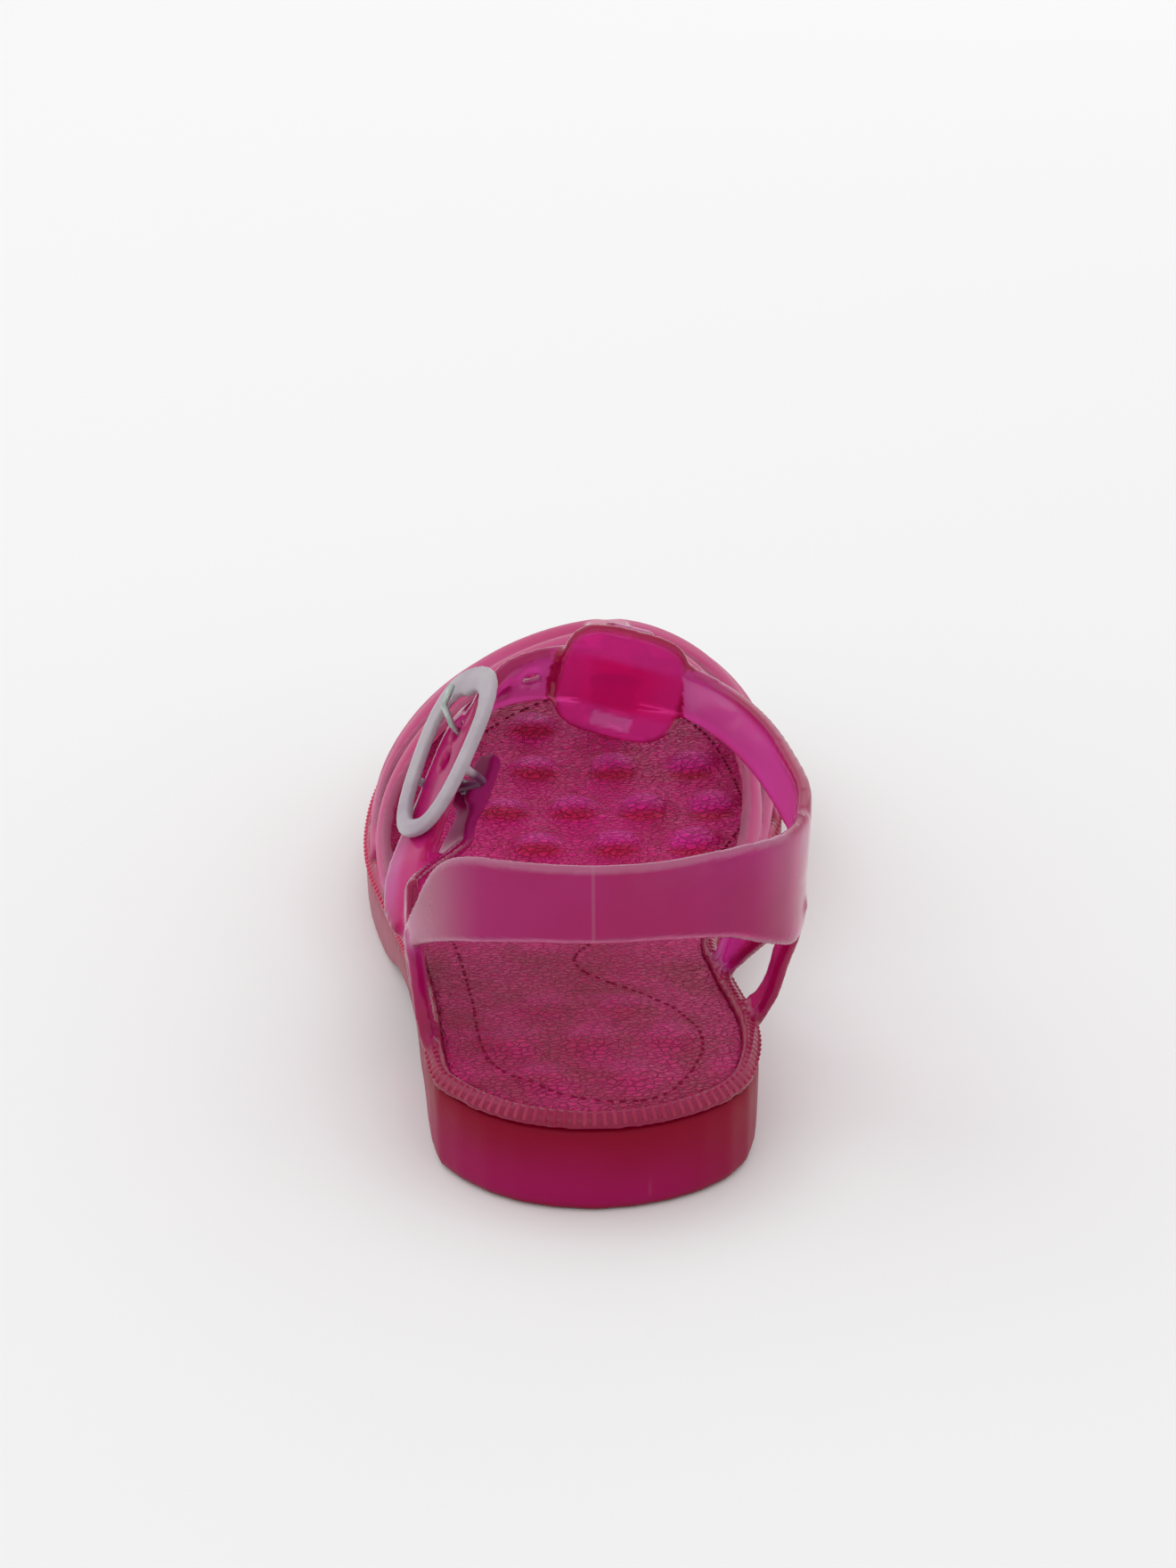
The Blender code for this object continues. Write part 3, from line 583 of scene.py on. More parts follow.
class Signal:
    """Output of a shader node that takes part in arithmetic."""

    def __init__(self, wiring: "Wiring", socket: bpy.types.NodeSocket) -> None:
        """Keep the material's wiring and the socket."""
        self.wiring = wiring
        self.socket = socket

    def _math(self, operation: str, first: object, second: object = 0.0) -> "Signal":
        """A Math node on two values."""
        return self.wiring.signal("ShaderNodeMath", {"operation": operation}, {0: first, 1: second})

    def __add__(self, other: object) -> "Signal":
        """Sum."""
        return self._math("ADD", self, other)

    __radd__ = __add__

    def __mul__(self, other: object) -> "Signal":
        """Product."""
        return self._math("MULTIPLY", self, other)

    __rmul__ = __mul__

    def __sub__(self, other: object) -> "Signal":
        """Difference."""
        return self._math("SUBTRACT", self, other)

    def __rsub__(self, other: object) -> "Signal":
        """Reflected difference."""
        return self._math("SUBTRACT", other, self)

    def __neg__(self) -> "Signal":
        """The other sign."""
        return 0 - self

    def __abs__(self) -> "Signal":
        """Size without sign."""
        return self._math("ABSOLUTE", self)

    def ramp(self, low: float, high: float) -> "Signal":
        """Smooth rise from 0 at low to 1 at high.

        Args:
            low: Where it starts.
            high: Where it ends.

        Returns:
            The rise.
        """
        return self.wiring.signal(
            "ShaderNodeMapRange",
            {"interpolation_type": "SMOOTHSTEP"},
            {"Value": self, "From Min": low, "From Max": high, "To Min": 0.0, "To Max": 1.0},
        )


class Wiring:
    """The nodes of one material."""

    def __init__(self, name: str) -> None:
        """Start an empty material.

        Args:
            name: The material's name.
        """
        self.material = bpy.data.materials.new(name)
        self.material.use_nodes = True
        self.tree = self.material.node_tree
        self.tree.nodes.clear()
        self.output = self.tree.nodes.new("ShaderNodeOutputMaterial")

    def node(
        self, kind: str, settings: dict[str, object] | None = None, inputs: dict[object, object] | None = None
    ) -> bpy.types.Node:
        """Add a node, set its properties first and then its sockets.

        Args:
            kind: The node's type.
            settings: Properties by name.
            inputs: Values, signals or sockets by the input's name or number.

        Returns:
            The node.
        """
        made = self.tree.nodes.new(kind)
        for name, value in (settings or {}).items():
            setattr(made, name, value)
        for key, value in (inputs or {}).items():
            socket = made.inputs[key]
            if isinstance(value, Signal):
                self.tree.links.new(value.socket, socket)
            elif isinstance(value, bpy.types.NodeSocket):
                self.tree.links.new(value, socket)
            else:
                socket.default_value = value
        return made

    def signal(
        self,
        kind: str,
        settings: dict[str, object] | None = None,
        inputs: dict[object, object] | None = None,
        output: object = 0,
    ) -> Signal:
        """Add a node and give one of its outputs."""
        return Signal(self, self.node(kind, settings, inputs).outputs[output])

    def painted(self, name: str) -> Signal:
        """A number painted on the mesh."""
        return self.signal("ShaderNodeAttribute", {"attribute_name": name}, output="Fac")

    def layered(self, colour: object, *layers: tuple[object, tuple]) -> Signal:
        """Lay colours on a first one.

        Args:
            colour: The first colour.
            layers: A mask and a colour for each layer.

        Returns:
            The colour with all layers.
        """
        for mask, tint in layers:
            colour = self.signal("ShaderNodeMix", {"data_type": "RGBA"}, {0: mask, 6: colour, 7: tint}, 2)
        return colour

    def millimetres(self, stretch: tuple[float, float, float] = (1, 1, 1)) -> Signal:
        """Place on the object in millimetres, stretched along each axis.

        Args:
            stretch: The factor along each axis.

        Returns:
            The place.
        """
        place = self.signal("ShaderNodeTexCoord", output="Object")
        scale = tuple(1000 * share for share in stretch)
        return self.signal("ShaderNodeVectorMath", {"operation": "MULTIPLY"}, {0: place, 1: scale})

    def axes(self, place: Signal) -> tuple[Signal, Signal, Signal]:
        """The three parts of a vector."""
        parts = self.node("ShaderNodeSeparateXYZ", None, {0: place})
        return tuple(Signal(self, part) for part in parts.outputs)

    def clouds(self, place: Signal, size: float, detail: float = 2.0) -> Signal:
        """Soft noise whose patches have a size in millimetres."""
        inputs = {"Vector": place, "Scale": 1 / size, "Detail": detail}
        return self.signal("ShaderNodeTexNoise", None, inputs)

    def bump(self, height: Signal, depth: float, under: Signal | None = None) -> Signal:
        """Normal of a relief.

        Args:
            height: The relief, from 0 to 1.
            depth: Its depth in metres.
            under: A relief that lies under it.

        Returns:
            The normal.
        """
        inputs = {"Height": height, "Distance": depth, "Strength": 1.0}
        if under:
            inputs["Normal"] = under
        return self.signal("ShaderNodeBump", None, inputs)

    def principled(self, colour: object, roughness: object, sockets: dict[str, object]) -> bpy.types.Node:
        """The shader of a finish, from its colour, its roughness and its other sockets."""
        inputs = {"Base Color": colour, "Roughness": roughness, **sockets}
        return self.node("ShaderNodeBsdfPrincipled", None, inputs)

    def close(self, shader: bpy.types.Node, volume: bpy.types.Node | None = None) -> Material:
        """Link the shader, and the volume of a clear body, to the output.

        Args:
            shader: The surface shader.
            volume: The volume shader.

        Returns:
            The material.
        """
        self.tree.links.new(shader.outputs[0], self.output.inputs["Surface"])
        if volume:
            self.tree.links.new(volume.outputs[0], self.output.inputs["Volume"])
        return self.material


@dataclass(frozen=True)
class ClearVinyl:
    """Clear soft vinyl: coloured through, glossy, a little milky where it was moulded, with painted sheen,
    highlights, see-through and edge shade.
    """

    name: str = "fuchsia_vinyl"
    deep: tuple = (0.60, 0.004, 0.190, 1)
    light: tuple = (0.70, 0.020, 0.380, 1)
    # Milky haze, also used for the painted sheen at the heel band's two ends
    haze_and_sheen: tuple = (0.62, 0.30, 0.40, 1)
    # Dark crimson of painted shade on edges, standing in for light's longer path through edge-on vinyl
    rim: tuple = (0.42, 0.003, 0.060, 1)
    band: tuple = (0.45, 0.002, 0.150, 1)
    # Pale pink of the painted highlights along edges
    edge_highlight: tuple = (0.80, 0.38, 0.55, 1)
    # Fuchsia of the strap painted as seen through the tab plate
    see_through_strap: tuple = (0.92, 0.004, 0.200, 1)
    plate: tuple = (0.92, 0.050, 0.420, 1)
    # Pink of the lower bridge: denser where it is bonded, and painted as seen through the plate
    block: tuple = (1.0, 0.240, 0.700, 1)
    # Light violet of painted highlights
    highlight_violet: tuple = (0.96, 0.150, 0.640, 1)
    crimson: tuple = (0.52, 0.004, 0.125, 1)
    # Pale pink of the painted highlight on the strips' outward faces
    outward_highlight: tuple = (0.86, 0.460, 0.640, 1)
    # Dark purple of the painted shadow under the buckle
    painted_shadow: tuple = (0.32, 0.008, 0.130, 1)
    foot: tuple = (0.44, 0.004, 0.065, 1)
    clearness: float = 0.50
    absorbed: tuple = (0.96, 0.10, 0.60, 1)
    density: float = 150.0

    def colour(self, w: Wiring, outer_end: Signal) -> Signal:
        """Colour of the upper, from its places and from what is painted on it.

        Args:
            w: The material's wiring.
            outer_end: Mask of the heel band's outer end, which gets a painted sheen.

        Returns:
            The colour.
        """
        place = w.millimetres()
        across, along, up = w.axes(place)
        patches = w.clouds(place, 26.0)
        milk = w.clouds(place, 17.0, 3.0).ramp(0.55, 0.85) * 0.12
        inner_end = across.ramp(24.0, 33.0) * (-along).ramp(-20.0, -6.0) * up.ramp(34.0, 44.0)
        band = (-along).ramp(4.0, 8.0) * up.ramp(28.0, 34.0)
        seam = (1 - abs(across).ramp(0.12, 0.40)) * (-along).ramp(14.0, 18.0) * up.ramp(36.0, 44.0)
        vamp = along.ramp(*VAMP_START)
        edge, tab, low_edge = (w.painted(name) for name in ("edge", "tab", "strap_low_highlight"))
        free_edge = edge * (1 - band) * (1 - vamp) * (1 - tab) * (1 - low_edge)
        return w.layered(
            self.deep,
            (patches.ramp(0.38, 0.62), self.light),
            (band * 0.75, self.band),
            # Milky haze at random, and painted sheen at the heel band's outer and inner ends
            (milk + outer_end * 0.75 + inner_end * 0.30, self.haze_and_sheen),
            (seam * 0.25, self.haze_and_sheen),
            # Painted highlight along the heel band's edges
            (edge * band * 0.45, self.edge_highlight),
            (vamp * 0.85, self.crimson),
            # Painted highlight on the vamp strips' outward faces
            (w.painted("lace_out") * (0.02 + patches * 0.20), self.outward_highlight),
            # Painted highlight along the vamp strips' edges
            (edge * vamp * 0.42, self.edge_highlight),
            # Painted highlight on the middle of the ankle strap's inner face
            (w.painted("strap_lit_middle") * 0.90, self.highlight_violet),
            (w.painted("tail") * 0.80, self.crimson),
            # Painted highlight along the ankle strap's lower edge
            (low_edge * 0.65, self.edge_highlight),
            (tab, self.plate),
            # Painted see-through: the strap behind the tab plate
            (w.painted("tab_see_through") * 0.85, self.see_through_strap),
            # Lower bridge: denser colour where it is bonded, partly painted see-through
            (w.painted("tab_block") * 0.80, self.block),
            # Painted shade on the tab plate's rim
            (w.painted("tab_rim") * 0.90, self.rim),
            # Painted shade on the other free edges of straps, legs and pad
            (free_edge * 0.60, self.rim),
            (w.painted("foot") * 0.9, self.foot),
        )

    def build(self) -> Material:
        """Make the material: a glossy clear shader, dull on the pad, the strips and the tail, with painted
        shadow on the pad.

        Returns:
            The material.
        """
        w = Wiring(self.name)
        place = w.millimetres()
        across, along, up = w.axes(place)
        # Outer end of the heel band: painted sheen there, and a rougher gloss
        outer_end = (-across).ramp(16.0, 29.0) * (-along).ramp(-2.0, 5.0) * up.ramp(30.0, 36.0)
        colour = self.colour(w, outer_end)
        grain = w.bump(w.clouds(place, 0.9, 4.0), 0.006 * MM)
        waves = w.bump(w.clouds(place, 7.0, 1.0), 0.06 * MM, grain)
        wear = w.clouds(place, 5.0, 5.0).ramp(0.35, 0.75)
        gloss = (0.10 + wear * 0.08 + outer_end * 0.20) * (1 - w.painted("tab") * 0.6)
        glossy = {
            "IOR": 1.40,
            "Transmission Weight": self.clearness,
            "Specular IOR Level": 0.35,
            "Coat Weight": 0.04,
            "Coat Roughness": 0.08,
            "Normal": waves,
        }
        clear = w.principled(colour, gloss, glossy)
        # Painted shadow on the pad and its lugs under the buckle
        pad = w.painted("pad")
        dull_colour = w.layered(colour, (pad, self.painted_shadow))
        dull = w.principled(dull_colour, 0.6, {"Specular IOR Level": 0.05, "Normal": waves})
        strips = w.painted("lace_out") * (1 - w.painted("edge") * 0.6)
        dulled = pad * 0.85 + strips * 0.60 + w.painted("tail") * 0.60
        mixed = w.node("ShaderNodeMixShader", None, {0: dulled, 1: clear.outputs[0], 2: dull.outputs[0]})
        tinting = {"Color": self.absorbed, "Density": self.density}
        return w.close(mixed, w.node("ShaderNodeVolumeAbsorption", None, tinting))


@dataclass(frozen=True)
class RibVinyl:
    """Vinyl of the welt's ribs: uneven and deep red at the heel, brighter on the little-toe side."""

    name: str = "rib_vinyl"
    crest: tuple = (0.40, 0.050, 0.105, 1)
    root: tuple = (0.27, 0.006, 0.045, 1)
    side: tuple = (0.60, 0.070, 0.150, 1)

    def build(self) -> Material:
        """Make the material.

        Returns:
            The material.
        """
        w = Wiring(self.name)
        place = w.millimetres()
        across, along, _ = w.axes(place)
        uneven = w.clouds(place, 14.0, 2.0).ramp(0.32, 0.66)
        speck = w.clouds(place, 1.2, 3.0)
        outer_side = (-across).ramp(22.0, 32.0) * along.ramp(-5.0, 20.0)
        colour = w.layered(self.root, (uneven * (0.25 + speck * 0.8), self.crest), (outer_side, self.side))
        relief = w.bump(speck, 0.02 * MM)
        sockets = {"Specular IOR Level": 0.18, "Normal": relief}
        return w.close(w.principled(colour, 0.34 + speck * 0.15, sockets))


@dataclass(frozen=True)
class SoleVinyl:
    """Deep crimson clear vinyl of the sole, brighter towards its lower edge, with a painted highlight streak
    low on the heel.
    """

    name: str = "sole_vinyl"
    dark: tuple = (0.225, 0.0006, 0.017, 1)
    warm: tuple = (0.31, 0.004, 0.080, 1)
    pale: tuple = (0.40, 0.12, 0.17, 1)

    def build(self) -> Material:
        """Make the material.

        Returns:
            The material.
        """
        w = Wiring(self.name)
        place = w.millimetres()
        across, along, up = w.axes(place)
        low = (1 - (up + w.clouds(place, 18.0) * 6).ramp(5.0, 18.0)) * up.ramp(0.2, 1.8)
        middle = 1 - abs(across + 5).ramp(12.0, 30.0)
        flank = (-across).ramp(27.5, 35.0) * along.ramp(10.0, 45.0) * 0.7
        # Painted highlight: a thin lit streak low on the back of the heel
        highlight_streak = (1 - abs(across - 8.6).ramp(0.1, 0.35)) * (1 - up.ramp(3.0, 6.5)) * up.ramp(1.5, 3.0)
        heel_highlight = highlight_streak * (-along).ramp(20.0, 24.0) * 0.15
        colour = w.layered(
            self.dark, (low * (0.35 + middle * 0.6), self.warm), (flank + heel_highlight, self.pale)
        )
        relief = w.bump(w.clouds(place, 9.0, 1.0), 0.12 * MM, w.bump(w.clouds(place, 1.1, 4.0), 0.02 * MM))
        depth = {
            "Specular IOR Level": 0.10,
            "Subsurface Weight": 0.15,
            "Subsurface Radius": (0.003, 0.0005, 0.001),
            "Normal": relief,
        }
        return w.close(w.principled(colour, 0.30 + w.clouds(place, 4.0, 4.0) * 0.16, depth))


@dataclass(frozen=True)
class GrainedVinyl:
    """Vinyl of the footbed with a fine leather grain, darker in the heel seat, with painted highlights and
    shade on its domes.
    """

    name: str = "footbed_vinyl"
    bright: tuple = (0.82, 0.002, 0.260, 1)
    dark: tuple = (0.62, 0.001, 0.145, 1)
    heel: tuple = (0.46, 0.002, 0.120, 1)
    shade: tuple = (0.27, 0.003, 0.040, 1)
    # Violet of the painted highlights on the domes' tops
    highlight_violet: tuple = (0.86, 0.022, 0.400, 1)
    # Crimson of the painted shade crescents on the domes' heel sides
    crescent_shade: tuple = (0.58, 0.001, 0.055, 1)

    def build(self) -> Material:
        """Make the material.

        Returns:
            The material.
        """
        w = Wiring(self.name)
        place = w.millimetres()
        _, along, _ = w.axes(place)
        wander = w.clouds(place, 2.2, 3.0)
        shift = w.signal("ShaderNodeCombineXYZ", None, {0: wander * 1.6, 1: wander * 1.2})
        long_cells = w.millimetres((0.80, 1.20, 1.0))
        warped = w.signal("ShaderNodeVectorMath", {"operation": "ADD"}, {0: long_cells, 1: shift})
        cells = {"Vector": warped, "Scale": 0.85}
        crease = w.signal("ShaderNodeTexVoronoi", {"feature": "DISTANCE_TO_EDGE"}, cells).ramp(0.0, 0.16)
        patches = w.clouds(place, 9.0, 3.0).ramp(0.35, 0.68)
        pebbles = w.clouds(place, 1.5, 4.0)
        front = w.layered(self.bright, (patches * 0.75, self.dark))
        rear = w.layered(self.heel, (patches * 0.7, self.shade))
        colour = w.layered(
            rear,
            (along.ramp(28.0, 62.0), front),
            # Painted highlights on the domes' tops and painted shade crescents on their heel sides
            (w.painted("dome_highlight") * 0.80, self.highlight_violet),
            (w.painted("crescent_shade") * 0.80, self.crescent_shade),
            ((1 - crease) * 0.18 + (1 - pebbles.ramp(0.35, 0.60)) * 0.16, self.shade),
        )
        pores = w.bump(w.clouds(place, 0.35, 3.0), 0.02 * MM)
        relief = w.bump(crease, 0.34 * MM, w.bump(pebbles, 0.50 * MM, pores))
        roughness = 0.30 + w.clouds(place, 3.0, 4.0) * 0.20
        return w.close(w.principled(colour, roughness, {"Specular IOR Level": 0.24, "Normal": relief}))


@dataclass(frozen=True)
class StitchVinyl:
    """Dark pits of the footprint line moulded in the footbed."""

    name: str = "footprint_line"
    shade: tuple = (0.15, 0.001, 0.020, 1)
    lit: tuple = (0.24, 0.003, 0.040, 1)

    def build(self) -> Material:
        """Make the material.

        Returns:
            The material.
        """
        w = Wiring(self.name)
        colour = w.layered(self.shade, (w.clouds(w.millimetres(), 3.0), self.lit))
        return w.close(w.principled(colour, 0.6, {"Specular IOR Level": 0.1}))


@dataclass(frozen=True)
class MilkyPlastic:
    """Milky translucent plastic of the buckle."""

    name: str = "buckle_plastic"
    pale: tuple = (0.58, 0.53, 0.57, 1)
    grey: tuple = (0.48, 0.41, 0.48, 1)
    shaded: tuple = (0.16, 0.035, 0.120, 1)

    def build(self) -> Material:
        """Make the material.

        Returns:
            The material.
        """
        w = Wiring(self.name)
        place = w.millimetres()
        cloudy = w.clouds(place, 6.0, 3.0).ramp(0.3, 0.7)
        colour = w.layered(self.pale, (cloudy, self.grey), (w.painted("depth"), self.shaded))
        milk = {
            "Transmission Weight": 0.25,
            "Subsurface Weight": 0.3,
            "Subsurface Radius": (0.004, 0.003, 0.004),
            "Normal": w.bump(w.clouds(place, 1.4, 4.0), 0.05 * MM),
        }
        return w.close(w.principled(colour, 0.36 + w.clouds(place, 2.0) * 0.2, milk))


@dataclass(frozen=True)
class WireSteel:
    """Dull steel wire of the prong."""

    name: str = "prong_steel"
    bright: tuple = (0.52, 0.57, 0.54, 1)
    dull: tuple = (0.30, 0.36, 0.33, 1)

    def build(self) -> Material:
        """Make the material.

        Returns:
            The material.
        """
        w = Wiring(self.name)
        place = w.millimetres()
        tarnish = w.clouds(place, 1.6, 5.0).ramp(0.35, 0.7)
        relief = w.bump(w.clouds(place, 0.3, 3.0), 0.02 * MM)
        colour = w.layered(self.bright, (tarnish, self.dull))
        sockets = {"Metallic": 1.0 - tarnish * 0.25, "Normal": relief}
        return w.close(w.principled(colour, 0.25 + tarnish * 0.25, sockets))


@dataclass(frozen=True)
class StudioPaper:
    """Pale paper of the studio's floor."""

    name: str = "studio_paper"
    colour: tuple = (0.90, 0.90, 0.90, 1)

    def build(self) -> Material:
        """Make the material."""
        w = Wiring(self.name)
        return w.close(w.principled(self.colour, 0.9, {"Specular IOR Level": 0.1}))


@dataclass
class Sole:
    """The outsole: heel, arch, toe spring and tread."""

    voxel: float = 0.7 * MM
    rounds: int = 20
    floor_gap: float = 0.01 * MM
    finish: SoleVinyl = SoleVinyl()

    def build(self) -> Piece:
        """Soften the CAD sole and set its underside flat on the floor.

        Returns:
            The sole.
        """
        sole = soft_copy("outsole", "sole", self.voxel, self.rounds)
        for vert in sole.data.vertices:
            vert.co.z = max(vert.co.z, self.floor_gap)
        return sole

    def dress(self, sole: Piece) -> None:
        """Give the sole its finish and its place on the frame."""
        settle(sole, self.finish, "sole_vinyl", "outsole")


@dataclass
class Footbed:
    """The insole: domes, leather grain and the footprint line."""

    voxel: float = 0.7 * MM
    rounds: int = 10
    spread: float = 2.6 * MM
    dash: tuple = (1.20 * MM, 0.62 * MM, 0.40 * MM)
    pitch: float = 1.95 * MM
    # Footprint in millimetres, from the middle of the toes down the inner side and round the heel
    footprint: tuple = (
        (2, 147), (14, 144), (19, 138), (25, 125), (28.6, 101), (26, 86), (14, 60), (-2.4, 34),
        (7.7, 19.4), (14, 11.3), (17.6, -2.7), (11.7, -18), (1.8, -20.6), (-9.3, -15.4), (-17, -4.9),
        (-19.4, 17), (-21.7, 34.6), (-26, 62), (-29, 90), (-26, 118), (-12, 140),
    )
    domes: tuple = table(
        Domes,
        (84.1, -8.1, 13.4, 3, 5.2), (99.3, -14.1, 12.2, 4, 5.2), (117.0, -8.7, 14.1, 3, 5.2),
        (134.6, -9.0, 15.0, 2, 5.2), (-10.9, -7.2, 12.9, 2, 4.6), (1.4, -12.9, 12.5, 3, 4.6),
        (13.6, -7.6, 12.5, 2, 4.6),
    )
    heel_strength: float = 0.15
    finish: GrainedVinyl = GrainedVinyl()
    line_finish: StitchVinyl = StitchVinyl()

    def build(self) -> Piece:
        """Soften the CAD footbed and its domes, and spread it to the welt.

        Returns:
            The footbed.
        """
        bed = soft_copy("footbed", "domed_footbed", self.voxel, self.rounds)
        low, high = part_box("footbed")
        middle = (low + high) / 2
        for axis in (0, 1):
            grow = 1 + self.spread / (high[axis] - low[axis])
            for vert in bed.data.vertices:
                vert.co[axis] = middle[axis] + (vert.co[axis] - middle[axis]) * grow
        self.tint_domes(bed)
        return bed

    def tint_domes(self, bed: Piece) -> None:
        """Paint a highlight on the domes' tops and a crescent of shade on their heel sides.

        Args:
            bed: The footbed.
        """
        spots = [
            (row.first + row.pitch * index, row.along, row.half)
            for row in self.domes
            for index in range(row.count)
        ]
        tops, crescents = [], []
        for vert in bed.data.vertices:
            x, y = vert.co.x / MM, vert.co.y / MM
            top = crescent_shade = 0.0
            for across, along, half in spots:
                if abs(x - across) < 1.4 * half and abs(y - along) < 1.4 * half:
                    far = math.hypot(x - across, y - along) / half
                    heelward = rise((along - y) / half, 0.1, 0.75)
                    strength = 1.0 if along > 40 else self.heel_strength
                    ring = rise(far, 0.3, 0.6) * (1 - rise(far, 0.85, 1.15))
                    # Painted highlight on a dome's top, painted shade in a crescent on its heel side
                    top = max(top, strength * (1 - rise(far, 0.45, 1.0)) * (1 - heelward))
                    crescent_shade = max(crescent_shade, strength * heelward * ring)
            tops.append(top)
            crescents.append(crescent_shade)
        paint(bed, "dome_highlight", tops)
        paint(bed, "crescent_shade", crescents)

    def build_line(self, bed: Piece) -> Piece:
        """Lay the dashes of the footprint line on the footbed.

        Args:
            bed: The finished footbed.

        Returns:
            The dashes as one object.
        """
        dash = added(bpy.ops.mesh.primitive_uv_sphere_add, "dash", segments=8, ring_count=5, radius=0.5)
        stretch(dash, self.dash)
        tree = BVHTree.FromObject(bed, bpy.context.evaluated_depsgraph_get())
        fine = [Vector(point) * MM for point in closed_curve(self.footprint, 2 * CURVE_STEPS)]
        spots, gone = [], 0.0
        for here, ahead in zip(fine, fine[1:] + fine[:1]):
            gone += (ahead - here).length
            if gone < self.pitch:
                continue
            gone -= self.pitch
            hit, normal, _, _ = tree.ray_cast(Vector((here.x, here.y, 0.1)), -UP)
            if hit is not None:
                run = (ahead - here).to_3d().normalized()
                aside = normal.cross(run).normalized()
                spots.append((hit, (aside.cross(normal), aside, normal)))
        line = repeated(dash, "footprint_line", spots)
        activate(line)
        bpy.ops.object.shade_smooth()
        return line

    def dress(self, bed: Piece, line: Piece) -> None:
        """Give the footbed and its line their finishes and their places on the frame."""
        settle(bed, self.finish, "footbed_vinyl", "footbed")
        settle(line, self.line_finish, "footbed_vinyl")


